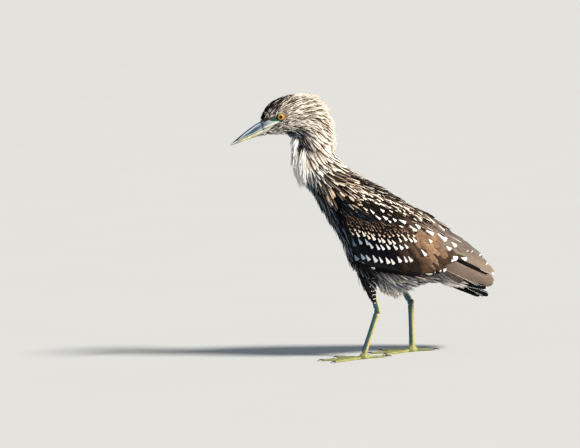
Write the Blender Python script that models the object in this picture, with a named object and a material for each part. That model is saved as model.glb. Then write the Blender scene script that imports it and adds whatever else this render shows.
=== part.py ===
"""A juvenile black-crowned night heron, wading: a still, life-size model with no joints.

Metres, +Z up. The bird faces -X with its left side towards -Y and stands on a floor at Z = 0.
Its bill tip and wing tips lie equally far from X = 0, so the origin is the middle of its footprint.

Head, neck and trunk are one loft from the bill's base to the rump, parted by thin plane cuts.
The outlines are those of the plumage. Wings, eyes and thighs are whole solids, and the body is
carved round them with a small clearance.
"""

from collections import namedtuple
from math import asin, cos, pi, radians, sin

import bmesh
import bpy
from mathutils import Matrix, Vector

# Overall sizes
REACH = 0.225  # bill tip and wing tips, either side of X = 0
GAP = 0.0004  # clearance between neighbouring solids
BODY_POINTS = 18  # points round a ring of the body
LIMB_POINTS = 9  # points round a ring of a leg
TOE_POINTS, CLAW_POINTS = 7, 6
FORWARD, UP = Vector((-1, 0, 0)), Vector((0, 0, 1))

# A section of a loft: its back and belly points in the bird's mid-plane, as (x, z), and its half width.
Station = namedtuple("Station", "back belly half_width")

HEAD = [
    Station((-0.1680, 0.4225), (-0.1680, 0.4015), 0.0085),
    Station((-0.1610, 0.4420), (-0.1600, 0.4000), 0.0128),
    Station((-0.1495, 0.4550), (-0.1490, 0.3990), 0.0158),
    Station((-0.1320, 0.4635), (-0.1360, 0.3985), 0.0182),
    Station((-0.1110, 0.4680), (-0.1220, 0.3975), 0.0204),
    Station((-0.0890, 0.4655), (-0.1110, 0.3930), 0.0222),
    Station((-0.0675, 0.4550), (-0.1075, 0.3865), 0.0236),
]
NECK = [
    Station((-0.0510, 0.4320), (-0.1090, 0.3790), 0.0246),
    Station((-0.0455, 0.4050), (-0.1155, 0.3710), 0.0252),
    Station((-0.0460, 0.3800), (-0.1185, 0.3570), 0.0258),
    Station((-0.0410, 0.3600), (-0.1145, 0.3420), 0.0270),
    Station((-0.0320, 0.3470), (-0.1110, 0.3270), 0.0292),
    Station((-0.0200, 0.3340), (-0.1050, 0.3130), 0.0330),
]
# The trunk's rear half lies under the folded wings, so its back is lower than theirs.
TRUNK = [
    Station((-0.0060, 0.3220), (-0.0940, 0.3020), 0.0380),
    Station((0.0100, 0.3125), (-0.0830, 0.2840), 0.0435),
    Station((0.0300, 0.3010), (-0.0700, 0.2570), 0.0485),
    Station((0.0515, 0.2875), (-0.0550, 0.2300), 0.0512),
    Station((0.0745, 0.2705), (-0.0398, 0.2000), 0.0525),
    Station((0.0955, 0.2500), (-0.0275, 0.1600), 0.0515),
    Station((0.1135, 0.2285), (0.0060, 0.1310), 0.0490),
    Station((0.1300, 0.2070), (0.0400, 0.1100), 0.0430),
    Station((0.1440, 0.1870), (0.0740, 0.1170), 0.0350),
    Station((0.1540, 0.1700), (0.1080, 0.1225), 0.0255),
    Station((0.1600, 0.1560), (0.1330, 0.1210), 0.0160),
]
WIDEST = 0.53  # where a section is widest, from belly 0 to back 1

# Parting planes of the body: a point on each, as (x, z), and how far it leans from level
HEAD_CUT = ((-0.0810, 0.4050), radians(42.5))
NECK_CUT = ((-0.0500, 0.3120), radians(12.8))
TAIL_CUT = ((0.1465, 0.1420), radians(52.0))

# A folded wing is a curved band: its sections run over the body's side from a top angle to a low
# angle, counted from the back (0) to the belly (180), and it is thickest in the middle of the band.
WingStation = namedtuple("WingStation", "back belly half_width top low thickness")
WING = [
    WingStation((0.0220, 0.3060), (-0.0755, 0.2680), 0.0500, 86, 98, 0.0030),
    WingStation((0.0300, 0.3010), (-0.0700, 0.2570), 0.0518, 72, 112, 0.0050),
    WingStation((0.0520, 0.2880), (-0.0550, 0.2300), 0.0550, 48, 126, 0.0075),
    WingStation((0.0760, 0.2725), (-0.0375, 0.2000), 0.0568, 27, 136, 0.0085),
    WingStation((0.1000, 0.2550), (-0.0225, 0.1600), 0.0565, 11, 142, 0.0085),
    WingStation((0.1220, 0.2370), (0.0080, 0.1340), 0.0540, 0, 125, 0.0080),
    WingStation((0.1420, 0.2200), (0.0420, 0.1190), 0.0498, 0, 120, 0.0075),
    WingStation((0.1600, 0.2060), (0.0780, 0.1200), 0.0438, 0, 126, 0.0065),
    WingStation((0.1780, 0.1945), (0.1120, 0.1235), 0.0370, 0, 125, 0.0055),
    WingStation((0.1950, 0.1790), (0.1450, 0.1170), 0.0300, 0, 140, 0.0045),
    WingStation((0.2115, 0.1585), (0.1720, 0.1115), 0.0230, 6, 145, 0.0038),
    WingStation((0.2220, 0.1390), (0.1980, 0.1090), 0.0185, 12, 146, 0.0030),
    WingStation((REACH + 0.0010, 0.1210), (0.2140, 0.1100), 0.0145, 30, 140, 0.0020),
]
WING_MIDLINE_GAP = 0.0003  # each wing stops this far from the mid-plane on the back
WING_EDGE = 0.0012  # thickness of a wing's rim
WING_UNDERCUT = 0.20  # how far a wing's lower edge turns in, as a share of its half width
FLIGHT_CUT = ((0.1510, 0.1680), radians(50.0))  # parts the flight feathers from the wing's coverts

TAIL = [
    Station((0.1360, 0.1600), (0.1200, 0.1340), 0.0130),
    Station((0.1620, 0.1400), (0.1530, 0.1175), 0.0165),
    Station((0.1850, 0.1210), (0.1790, 0.1030), 0.0180),
    Station((0.2020, 0.1070), (0.1970, 0.0935), 0.0170),
    Station((0.2110, 0.0985), (0.2085, 0.0920), 0.0125),
]

# The bill: culmen, tomium (the edges that meet) and underside, from the face to the tip
BillStation = namedtuple("BillStation", "culmen tomium underside half_width")
BILL = [
    BillStation((-0.1580, 0.4290), (-0.1580, 0.4115), (-0.1580, 0.4015), 0.0088),
    BillStation((-0.1680, 0.4238), (-0.1680, 0.4082), (-0.1680, 0.3998), 0.0080),
    BillStation((-0.1800, 0.4175), (-0.1780, 0.4042), (-0.1770, 0.3975), 0.0066),
    BillStation((-0.1910, 0.4105), (-0.1885, 0.3997), (-0.1880, 0.3945), 0.0053),
    BillStation((-0.2000, 0.4042), (-0.1990, 0.3955), (-0.1985, 0.3915), 0.0041),
    BillStation((-0.2100, 0.3968), (-0.2090, 0.3912), (-0.2085, 0.3885), 0.0029),
    BillStation((-0.2190, 0.3897), (-0.2175, 0.3873), (-0.2170, 0.3862), 0.0016),
    BillStation((-REACH, 0.3850), (-REACH, 0.3845), (-0.2240, 0.3842), 0.0004),
]
FACE_X = -0.1655  # the plane where the bill meets the feathered face
# Half a mandible's section, from edge to ridge: shares of its half width and of its height
MANDIBLE_SECTION = [(1.0, 0.0), (0.94, 0.30), (0.74, 0.62), (0.42, 0.88), (0.0, 1.0)]

EYE_CENTRE = (-0.1310, 0.0128, 0.4303)
EYE_RADIUS = 0.0080
EYE_SEGMENTS, EYE_RINGS = 16, 9

# Legs. Each is (x, z) in its own plane, with the lateral distance beside it.
TARSUS_RADIUS, SHANK_RADIUS, ANKLE_RADIUS = 0.0039, 0.0043, 0.0058
LegPlan = namedtuple("LegPlan", "thigh shank_top ankle foot")
LEGS = {
    "left": LegPlan(
        thigh=[
            ((0.0000, 0.1640), 0.0215, 0.0205, 0.0135),
            ((0.0010, 0.1440), 0.0225, 0.0180, 0.0130),
            ((0.0050, 0.1300), 0.0238, 0.0135, 0.0112),
            ((0.0084, 0.1150), 0.0248, 0.0095, 0.0085),
            ((0.0114, 0.1030), 0.0256, 0.0062, 0.0058),
            ((0.0122, 0.0985), 0.0260, 0.0048, 0.0046),
        ],
        shank_top=(0.0125, 0.0260, 0.0981),
        ankle=(0.0160, 0.0275, 0.0820),
        foot=(-0.0120, 0.0330, 0.0055),
    ),
    "right": LegPlan(
        thigh=[
            ((0.0300, 0.1740), 0.0215, 0.0205, 0.0135),
            ((0.0385, 0.1560), 0.0225, 0.0180, 0.0130),
            ((0.0465, 0.1405), 0.0238, 0.0135, 0.0112),
            ((0.0540, 0.1270), 0.0248, 0.0095, 0.0085),
            ((0.0610, 0.1160), 0.0256, 0.0066, 0.0058),
            ((0.0634, 0.1116), 0.0260, 0.0048, 0.0046),
        ],
        shank_top=(0.0636, 0.0260, 0.1112),
        ankle=(0.0760, 0.0275, 0.0880),
        foot=(0.0740, 0.0330, 0.0055),
    ),
}

# Feet
HUB_RADIUS, HUB_HEIGHT = 0.0090, 0.0105
HUB_PROFILE = [(0.86, 0.0), (1.0, 0.20), (0.98, 0.45), (0.80, 0.72), (0.56, 0.90), (0.34, 1.0)]
TOE_BASE_RADIUS, TOE_TIP_RADIUS = 0.0023, 0.0018
CLAW_BASE_RADIUS, CLAW_TIP_RADIUS = 0.0015, 0.0004
TOE_SINK = 0.80  # a toe's centreline height over its radius: below 1, its sole is a flat
Toe = namedtuple("Toe", "name heading length joints claw")
TOES = [
    Toe("inner", radians(34), 0.046, 3, 0.009),
    Toe("middle", radians(1), 0.062, 4, 0.010),
    Toe("outer", radians(-33), 0.052, 5, 0.009),
    Toe("hind", radians(174), 0.026, 2, 0.012),
]

COLOURS = {
    "plumage_pale": (0.62, 0.52, 0.42),
    "plumage_streaked": (0.42, 0.33, 0.25),
    "plumage_brown": (0.20, 0.145, 0.105),
    "bill_upper": (0.16, 0.21, 0.27),
    "bill_lower": (0.62, 0.60, 0.34),
    "eye": (0.90, 0.42, 0.04),
    "leg": (0.42, 0.46, 0.20),
    "claw": (0.09, 0.08, 0.07),
}
FEATHER_ROUGHNESS, HORN_ROUGHNESS, EYE_ROUGHNESS = 0.8, 0.4, 0.08


def clear_scene():
    for obj in list(bpy.data.objects):
        bpy.data.objects.remove(obj)


def material(name):
    """The Principled material of that name, made once."""
    found = bpy.data.materials.get(name)
    if found:
        return found
    made = bpy.data.materials.new(name)
    made.use_nodes = True
    shader = made.node_tree.nodes["Principled BSDF"]
    shader.inputs["Base Color"].default_value = (*COLOURS[name], 1.0)
    shader.inputs["Metallic"].default_value = 0.0
    if name == "eye":
        roughness = EYE_ROUGHNESS
    elif name.startswith("plumage"):
        roughness = FEATHER_ROUGHNESS
    else:
        roughness = HORN_ROUGHNESS
    shader.inputs["Roughness"].default_value = roughness
    made.diffuse_color = (*COLOURS[name], 1.0)
    return made


def object_from(name, mesh, colour):
    obj = bpy.data.objects.new(name, mesh)
    bpy.context.scene.collection.objects.link(obj)
    obj.data.materials.append(material(colour))
    return obj


def mirrored(point, side):
    """(x, distance from the mid-plane, z) as a point on the left, at -Y, or on the right."""
    x, out, z = point
    return Vector((x, -out if side == "left" else out, z))


def along(keys, at):
    """The keys, rows of equally many numbers, read at a place from 0 to len(keys) - 1 on a smooth curve."""
    low = min(int(at), len(keys) - 2)
    part = at - low
    before, here = keys[max(low - 1, 0)], keys[low]
    after, beyond = keys[low + 1], keys[min(low + 2, len(keys) - 1)]
    return [
        0.5
        * (
            2 * b
            + (c - a) * part
            + (2 * a - 5 * b + 4 * c - d) * part**2
            + (3 * b - a - 3 * c + d) * part**3
        )
        for a, b, c, d in zip(before, here, after, beyond)
    ]


def flat_row(station):
    """A station's points and sizes as one row of numbers."""
    row = []
    for value in station:
        row.extend(value if isinstance(value, tuple) else [value])
    return row


def rows_between(stations, steps):
    """Rows read from the stations, steps to each stretch."""
    keys = [flat_row(station) for station in stations]
    count = (len(keys) - 1) * steps
    return [along(keys, index / steps) for index in range(count + 1)]


def mesh_of_rings(name, rings):
    """A closed mesh through rings of equally many points, with a face across each end."""
    shape = bmesh.new()
    grid = [[shape.verts.new(point) for point in ring] for ring in rings]
    size = len(grid[0])
    for first, second in zip(grid, grid[1:]):
        for i in range(size):
            j = (i + 1) % size
            shape.faces.new((first[i], first[j], second[j], second[i]))
    shape.faces.new(reversed(grid[0]))
    shape.faces.new(grid[-1])
    bmesh.ops.triangulate(shape, faces=shape.faces)
    bmesh.ops.recalc_face_normals(shape, faces=shape.faces)
    mesh = bpy.data.meshes.new(name)
    shape.to_mesh(mesh)
    shape.free()
    mesh.shade_smooth()
    mesh.set_sharp_from_angle(angle=radians(50))
    return mesh


def body_ring(row):
    """An egg-shaped section between a back and a belly point."""
    back, belly, half_width = Vector((row[0], 0, row[1])), Vector((row[2], 0, row[3])), row[4]
    skew = 2 * (1 - WIDEST)
    ring = []
    for i in range(BODY_POINTS):
        angle = 2 * pi * i / BODY_POINTS
        height = (0.5 + 0.5 * cos(angle)) ** skew
        point = belly.lerp(back, height)
        point.y = half_width * sin(angle)
        ring.append(point)
    return ring


def keep_side(obj, place, lean, side, gap=GAP):
    """Cuts the object along a plane across the mid-plane, and keeps what lies above (side 1) or below (-1)."""
    normal = Vector((-sin(lean), 0, cos(lean)))
    point = Vector((place[0], 0, place[1])) + normal * side * gap / 2
    shape = bmesh.new()
    shape.from_mesh(obj.data)
    geometry = shape.verts[:] + shape.edges[:] + shape.faces[:]
    cut = bmesh.ops.bisect_plane(
        shape,
        geom=geometry,
        plane_co=point,
        plane_no=normal,
        clear_outer=side < 0,
        clear_inner=side > 0,
    )
    rim = [item for item in cut["geom_cut"] if isinstance(item, bmesh.types.BMEdge)]
    bmesh.ops.contextual_create(shape, geom=rim)
    bmesh.ops.recalc_face_normals(shape, faces=shape.faces)
    shape.to_mesh(obj.data)
    shape.free()


def carve(obj, neighbour):
    """Cuts the neighbour's shape, grown by the clearance, out of the object."""
    mesh = neighbour.data.copy()
    cutter = bpy.data.objects.new(f"cutter_{obj.name}_{neighbour.name}", mesh)
    bpy.context.scene.collection.objects.link(cutter)
    cutter.matrix_world = neighbour.matrix_world
    normals = [vertex.normal.copy() for vertex in mesh.vertices]
    for vertex, normal in zip(mesh.vertices, normals):
        vertex.co += normal * GAP * 1.5
    cutter.hide_render = True
    cutter.display_type = "WIRE"
    cut = obj.modifiers.new(f"carve_{neighbour.name}", "BOOLEAN")
    cut.operation = "DIFFERENCE"
    cut.solver = "EXACT"
    cut.object = cutter


def body_loft(name, stations, colour):
    rings = [body_ring(row) for row in rows_between(stations, 2)]
    return object_from(name, mesh_of_rings(name, rings), colour)


def make_body():
    """Head, neck and trunk, cut from one loft."""
    whole = HEAD + NECK + TRUNK
    head = body_loft("head", whole, "plumage_streaked")
    neck = body_loft("neck", whole, "plumage_pale")
    trunk = body_loft("trunk", whole, "plumage_streaked")
    keep_side(head, *HEAD_CUT, 1)
    keep_side(neck, *HEAD_CUT, -1)
    keep_side(neck, *NECK_CUT, 1)
    keep_side(trunk, *NECK_CUT, -1)
    keep_side(head, (FACE_X, 0.41), -pi / 2, 1)
    return head, neck, trunk


def wing_section(row, side):
    """A closed section of a folded wing: an outer curve, and an inner one at the band's thickness."""
    back, belly = Vector((row[0], 0, row[1])), Vector((row[2], 0, row[3]))
    half_width, top, low, thickness = row[4], radians(row[5]), radians(row[6]), row[7]
    top = max(top, asin(WING_MIDLINE_GAP / half_width))
    count = BODY_POINTS // 2
    outer = []
    for i in range(count + 1):
        angle = top + (low - top) * i / count
        height = 0.5 + 0.5 * cos(angle)
        point = belly.lerp(back, height)
        turned_in = 1 - WING_UNDERCUT * (1 - 2 * height) ** 2
        point.y = half_width * (sin(angle) if angle < pi / 2 else turned_in)
        outer.append(point)
    across = (back - belly).normalized()
    inner = []
    for i, point in enumerate(outer):
        before, after = outer[max(i - 1, 0)], outer[min(i + 1, count)]
        run = after - before
        inward = (across * run.y - Vector((0, 1, 0)) * run.dot(across)).normalized()
        share = max(sin(pi * i / count), 0.0) ** 0.5
        depth = min(WING_EDGE, thickness) + max(thickness - WING_EDGE, 0) * share
        if inward.y > 0:
            inward = -inward
        moved = point + inward * depth
        moved.y = max(moved.y, WING_MIDLINE_GAP)
        inner.append(moved)
    ring = outer + inner[::-1]
    if side == "left":
        ring = [Vector((p.x, -p.y, p.z)) for p in ring]
    return ring


def make_wing(side):
    """The coverts' part of the folded wing, and its flight feathers, parted by a thin cut."""
    sections = [wing_section(row, side) for row in rows_between(WING, 2)]
    pieces = []
    for name, keep in ((f"wing_{side}", 1), (f"flight_feathers_{side}", -1)):
        piece = object_from(name, mesh_of_rings(name, sections), "plumage_brown")
        keep_side(piece, *FLIGHT_CUT, keep)
        pieces.append(piece)
    return pieces


def mandible_ring(edge, ridge, half_width):
    """A mandible's section: a flat between its edges, and a rounded ridge on the other side."""
    half = [(out * half_width, share) for out, share in MANDIBLE_SECTION]
    outline = half + [(-out, share) for out, share in reversed(half[:-1])]
    ring = []
    for out, share in outline:
        point = edge.lerp(ridge, share)
        point.y = out
        ring.append(point)
    return ring


def make_bill():
    """Upper and lower mandible, which meet along the tomium with a small clearance."""
    upper_rings, lower_rings = [], []
    for row in rows_between(BILL, 2):
        culmen, edge = Vector((row[0], 0, row[1])), Vector((row[2], 0, row[3]))
        underside, half_width = Vector((row[4], 0, row[5])), row[6]
        lift = (culmen - underside).normalized() * GAP / 2
        tip_depth = Vector((0, 0, GAP / 2))
        upper_rings.append(mandible_ring(edge + lift, culmen + tip_depth, half_width))
        lower_rings.append(mandible_ring(edge - lift, underside - tip_depth, half_width * 0.94))
    upper = object_from("bill_upper", mesh_of_rings("bill_upper", upper_rings), "bill_upper")
    lower = object_from("bill_lower", mesh_of_rings("bill_lower", lower_rings), "bill_lower")
    for mandible in (upper, lower):
        keep_side(mandible, (FACE_X, 0.41), -pi / 2, -1)


def make_eye(side):
    mesh = bpy.data.meshes.new(f"eye_{side}")
    ball = bmesh.new()
    bmesh.ops.create_uvsphere(
        ball, u_segments=EYE_SEGMENTS, v_segments=EYE_RINGS, radius=EYE_RADIUS
    )
    ball.to_mesh(mesh)
    ball.free()
    mesh.transform(Matrix.Rotation(pi / 2, 4, "X"))  # poles to the sides
    mesh.shade_smooth()
    eye = object_from(f"eye_{side}", mesh, "eye")
    eye.location = mirrored(EYE_CENTRE, side)
    bpy.context.view_layer.update()
    return eye


def tube_rings(path, points, facing):
    """Rings across a path of rows (centre, radius in the facing direction, radius across it)."""
    rings = []
    for index, (centre, deep, wide) in enumerate(path):
        before = path[max(index - 1, 0)][0]
        after = path[min(index + 1, len(path) - 1)][0]
        run = (after - before).normalized()
        forward = (facing - run * facing.dot(run)).normalized()
        across = run.cross(forward)
        rings.append(
            [
                centre
                + forward * deep * cos(2 * pi * i / points)
                + across * wide * sin(2 * pi * i / points)
                for i in range(points)
            ]
        )
    return rings


def make_thigh(side, plan):
    """The feathered part of the leg, from inside the belly to the end of its feathers."""
    keys = [(x, out, z, deep, wide) for (x, z), out, deep, wide in plan.thigh]
    steps = 2
    rows = [along(keys, i / steps) for i in range((len(keys) - 1) * steps + 1)]
    path = [(mirrored(row[:3], side), row[3], row[4]) for row in rows]
    name = f"thigh_{side}"
    return object_from(name, mesh_of_rings(name, tube_rings(path, 12, FORWARD)), "plumage_streaked")


def make_limb(name, start, end, radius, start_clear, end_clear, flare):
    """A leg bone's tube between two points, short of them by the clearances, flared at its ends."""
    run = end - start
    length = run.length
    way = run / length
    first, last = start + way * start_clear, end - way * end_clear
    path = []
    count = 6
    for i in range(count + 1):
        share = i / count
        swell = 1 + flare * abs(2 * share - 1) ** 4
        path.append((first.lerp(last, share), radius * swell * 1.12, radius * swell))
    return object_from(name, mesh_of_rings(name, tube_rings(path, LIMB_POINTS, FORWARD)), "leg")


def make_ball(name, centre, radius):
    """A rounded joint."""
    mesh = bpy.data.meshes.new(name)
    ball = bmesh.new()
    bmesh.ops.create_icosphere(ball, subdivisions=2, radius=radius)
    ball.to_mesh(mesh)
    ball.free()
    mesh.shade_smooth()
    obj = object_from(name, mesh, "leg")
    obj.location = centre
    return obj


def make_hub(name, place):
    """The pad where the toes meet, a dome on the floor."""
    rings = []
    for out, up in HUB_PROFILE:
        rings.append(
            [
                Vector(
                    (
                        place.x + HUB_RADIUS * out * cos(2 * pi * i / LIMB_POINTS),
                        place.y + HUB_RADIUS * out * 0.9 * sin(2 * pi * i / LIMB_POINTS),
                        HUB_HEIGHT * up,
                    )
                )
                for i in range(LIMB_POINTS)
            ]
        )
    return object_from(name, mesh_of_rings(name, rings), "leg")


def floor_tube(name, path, points, colour):
    """A tube along rows (centre, radius), with what would lie below the floor pressed flat on it."""
    rings = tube_rings([(centre, radius, radius) for centre, radius in path], points, UP)
    for ring in rings:
        for point in ring:
            point.z = max(point.z, 0.0)
    return object_from(name, mesh_of_rings(name, rings), colour)


def make_toe(side, place, toe):
    """One toe with a pad at each joint, and its claw."""
    sign = -1 if side == "left" else 1
    way = Vector((-cos(toe.heading), -sign * sin(toe.heading), 0))
    start = HUB_RADIUS + GAP * 2
    count = toe.joints * 2
    path = []
    for i in range(count + 1):
        share = i / count
        radius = TOE_BASE_RADIUS + (TOE_TIP_RADIUS - TOE_BASE_RADIUS) * share
        radius *= 1 + 0.13 * cos(2 * pi * share * toe.joints)
        ground = Vector((place.x, place.y, 0)) + way * (start + toe.length * share)
        path.append((ground + Vector((0, 0, radius * TOE_SINK)), radius))
    floor_tube(f"toe_{toe.name}_{side}", path, TOE_POINTS, "leg")
    tip = path[-1][0] + way * GAP
    claw_path = []
    for i in range(5):
        share = i / 4
        radius = CLAW_TIP_RADIUS + (CLAW_BASE_RADIUS - CLAW_TIP_RADIUS) * (1 - share) ** 0.8
        rise = 0.0012 * sin(pi * share) + 0.0004 - (tip.z - radius) * share * 0.8
        claw_path.append((tip + way * toe.claw * share + Vector((0, 0, rise)), radius))
    floor_tube(f"claw_{toe.name}_{side}", claw_path, CLAW_POINTS, "claw")


def make_leg(side, plan):
    """Shank, ankle, tarsus, hub, toes and claws."""
    shank_top = mirrored(plan.shank_top, side)
    ankle, foot = mirrored(plan.ankle, side), mirrored(plan.foot, side)
    clear = ANKLE_RADIUS + GAP
    make_limb(f"shank_{side}", shank_top, ankle, SHANK_RADIUS, GAP, clear, 0.12)
    make_ball(f"ankle_{side}", ankle, ANKLE_RADIUS)
    hub_top = Vector((foot.x, foot.y, HUB_HEIGHT))
    make_limb(f"tarsus_{side}", ankle, hub_top, TARSUS_RADIUS, clear, GAP * 3, 0.18)
    make_hub(f"foot_{side}", foot)
    for toe in TOES:
        make_toe(side, foot, toe)


def main():
    clear_scene()
    head, neck, trunk = make_body()
    make_bill()
    for side in ("left", "right"):
        carve(head, make_eye(side))
    tail = body_loft("tail", TAIL, "plumage_brown")
    keep_side(tail, *TAIL_CUT, -1)
    keep_side(trunk, *TAIL_CUT, 1)
    for side in ("left", "right"):
        for piece in make_wing(side):
            carve(trunk, piece)
            carve(tail, piece)
        thigh = make_thigh(side, LEGS[side])
        carve(trunk, thigh)
        make_leg(side, LEGS[side])


main()
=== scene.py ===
"""The looks of a young black-crowned night heron, wading: skin, plumage, head, legs, floor, light and camera.

Lengths in the tables below are millimetres; everything made is in metres, in the model's frame.
The bird faces -X, with its left side towards -Y. Markings and lie are the same on both sides.
"""

from itertools import product
from math import cos, pi, radians, sin

import bmesh
import bpy
import numpy as np
from mathutils import Matrix, Vector, noise
from mathutils.bvhtree import BVHTree


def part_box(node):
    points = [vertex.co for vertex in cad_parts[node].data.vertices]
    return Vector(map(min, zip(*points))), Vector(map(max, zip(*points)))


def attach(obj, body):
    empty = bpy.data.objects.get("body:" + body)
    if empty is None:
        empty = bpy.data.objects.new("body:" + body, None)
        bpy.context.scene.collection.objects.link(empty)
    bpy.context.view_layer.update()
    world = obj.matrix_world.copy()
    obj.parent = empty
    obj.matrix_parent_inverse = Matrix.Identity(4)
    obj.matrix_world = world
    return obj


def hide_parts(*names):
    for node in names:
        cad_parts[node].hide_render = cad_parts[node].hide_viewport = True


MM = 0.001
SIDES = {"left": -1.0, "right": 1.0}

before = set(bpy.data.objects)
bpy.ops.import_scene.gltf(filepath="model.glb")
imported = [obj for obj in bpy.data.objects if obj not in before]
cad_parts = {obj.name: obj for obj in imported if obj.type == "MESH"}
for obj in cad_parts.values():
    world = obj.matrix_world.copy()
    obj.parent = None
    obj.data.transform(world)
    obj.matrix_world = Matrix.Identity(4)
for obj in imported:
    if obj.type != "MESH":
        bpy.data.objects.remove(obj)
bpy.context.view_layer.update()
RANDOM = np.random.default_rng(11)
between = RANDOM.uniform


def off(spread, count=None):
    """A normal draw round 0, or as many as asked."""
    return RANDOM.normal(0, spread, count)



# ---------------------------------------------------------------- colours, linear

INK = (0.0030, 0.0034, 0.0055)
SOOT = (0.0080, 0.0062, 0.0056)
UMBER = (0.018, 0.0115, 0.0082)
BROWN = (0.070, 0.043, 0.029)
NUT = (0.300, 0.215, 0.160)
ROSE = (0.470, 0.370, 0.300)
FAWN = (0.330, 0.245, 0.185)
TAN = (0.420, 0.255, 0.155)
MOUSE = (0.215, 0.165, 0.132)
# painted shade: a dark sky blue that stands for shade on the breast's streaks and in the shadow under the
# scapulars
SHADE_TEAL = (0.040, 0.100, 0.160)
# painted shade: the pale grey down and streaks of the throat, lower neck, breast, belly, vent, undertail,
# flanks and thighs, made darker and bluer as they look in shade
SHADE_GREY = (0.230, 0.280, 0.340)
DOWN = (0.380, 0.385, 0.400)
BUFF = (0.760, 0.580, 0.420)
CREAM = (0.920, 0.800, 0.680)
PALE = (0.960, 0.850, 0.730)
WHITE = (0.950, 0.930, 0.900)
# painted shade: white spots made dark blue where they lie in shade
SHADE_WHITE = (0.170, 0.270, 0.370)

# ---------------------------------------------------------------- kinds of feather
# length, half width, space across, how much more along, depth of coat, how far it stands free (0 to 1),
# ground colour, mark colour, shaft streak (share of the width), where the tip spot starts (1 is none),
# where the point starts, how blunt the point is

KINDS = {
    "forehead": (8, 0.8, 1.35, 1.8, 1.3, 0.20, INK, CREAM, 0.03, 1.0, 0.45, 0),
    "lore_edge": (8, 0.8, 2.0, 1.2, 1.6, 0.75, INK, CREAM, 0.85, 1.0, 0.45, 0),
    "crown": (17, 1.05, 1.8, 2.4, 2.1, 0.22, INK, CREAM, 0.22, 1.0, 0.45, 0),
    "crown_side": (16, 1.05, 1.7, 2.3, 2.0, 0.14, UMBER, CREAM, 0.66, 1.0, 0.45, 0),
    "crown_rear": (20, 1.4, 2.3, 2.2, 3.0, 0.46, BROWN, PALE, 0.80, 1.0, 0.50, 0),
    "occiput": (23, 1.8, 3.1, 2.1, 3.8, 0.62, FAWN, PALE, 0.98, 1.0, 0.50, 0),
    "nape": (26, 2.1, 3.6, 2.1, 4.8, 0.76, FAWN, PALE, 1.02, 1.0, 0.52, 0),
    "brow": (8, 0.75, 1.2, 1.6, 1.1, 0.05, FAWN, PALE, 0.80, 1.0, 0.50, 0),
    "stripe": (8, 0.8, 1.3, 1.6, 1.1, 0.05, SOOT, CREAM, 0.30, 1.0, 0.50, 0),
    "malar": (11, 1.1, 1.75, 1.8, 1.4, 0.16, UMBER, PALE, 1.40, 1.0, 0.50, 0),
    "chin": (9, 1.1, 1.8, 1.5, 1.5, 0.60, BROWN, WHITE, 1.90, 1.0, 0.50, 1),
    "ear": (15, 1.2, 1.8, 2.1, 2.5, 0.14, BROWN, PALE, 1.38, 1.0, 0.50, 0),
    "cheek_shade": (15, 1.5, 2.6, 1.9, 2.7, 0.12, INK, SHADE_GREY, 0.14, 1.0, 0.45, 0),
    "ruff": (22, 2.0, 3.4, 1.7, 5.0, 0.30, DOWN, WHITE, 1.00, 1.0, 0.70, 1),
    "neck": (28, 2.2, 3.6, 2.2, 4.8, 0.20, ROSE, PALE, 1.30, 1.0, 0.60, 1),
    "down": (18, 1.8, 3.0, 1.7, 4.6, 0.18, SHADE_GREY, PALE, 0.30, 1.0, 0.60, 0),
    "neck_low": (29, 2.3, 4.0, 2.2, 5.0, 0.16, BROWN, CREAM, 0.64, 1.0, 0.60, 1),
    "shoulder": (30, 2.6, 4.6, 2.2, 5.4, 0.14, BROWN, BUFF, 0.82, 1.0, 0.62, 1),
    # painted_shadow: near-black vanes with faint blue streaks, a painted shadow under the scapulars' lower
    # edge and round the folded wing
    "painted_shadow": (20, 3.0, 5.2, 1.8, 5.0, 0.05, INK, SHADE_TEAL, 0.10, 1.0, 0.60, 1),
    # breast, breast_mid: painted shade: the buff-white, brown-streaked breast drawn near black with dark
    # blue-grey streaks, as it looks in shade
    "breast": (27, 1.7, 3.1, 2.3, 5.0, 0.14, INK, SHADE_TEAL, 0.60, 1.0, 0.55, 0),
    "breast_mid": (27, 1.8, 3.2, 2.3, 5.2, 0.20, SOOT, SHADE_GREY, 0.27, 1.0, 0.55, 0),
    "belly": (26, 1.9, 3.4, 1.7, 5.5, 0.25, SHADE_GREY, PALE, 0.50, 1.0, 0.60, 1),
    "belly_high": (24, 1.9, 3.4, 1.7, 5.5, 0.20, MOUSE, CREAM, 0.60, 1.0, 0.60, 1),
    "vent": (30, 1.8, 3.2, 1.6, 5.5, 0.85, SHADE_GREY, PALE, 0.40, 1.0, 0.60, 0),
    "undertail": (26, 2.0, 3.6, 1.8, 4.5, 0.35, SHADE_GREY, PALE, 0.40, 1.0, 0.60, 1),
    "mantle": (25, 2.2, 4.1, 2.2, 4.4, 0.06, UMBER, CREAM, 0.32, 1.0, 0.62, 1),
    "scapular": (26, 3.4, 5.8, 2.0, 5.0, 0.06, UMBER, BUFF, 0.10, 1.0, 0.66, 1),
    "rump": (30, 3.8, 6.4, 2.0, 4.5, 0.05, BROWN, CREAM, 0.22, 1.0, 0.66, 1),
    "rump_rear": (32, 4.2, 7.0, 2.0, 4.5, 0.05, MOUSE, WHITE, 0.10, 1.0, 0.66, 1),
    "flank": (24, 2.0, 3.6, 1.9, 4.5, 0.14, SOOT, SHADE_GREY, 0.26, 1.0, 0.55, 0),
    "thigh": (12, 1.3, 2.3, 1.7, 2.6, 0.08, SOOT, SHADE_GREY, 0.16, 1.0, 0.55, 1),
    "thigh_bar": (12, 1.5, 2.5, 1.9, 2.6, 0.10, SOOT, CREAM, 0.0, 0.66, 0.60, 1),
    "thigh_end": (7, 1.0, 1.8, 1.4, 0.9, 0.15, UMBER, CREAM, 0.20, 0.78, 0.50, 1),
}

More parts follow.
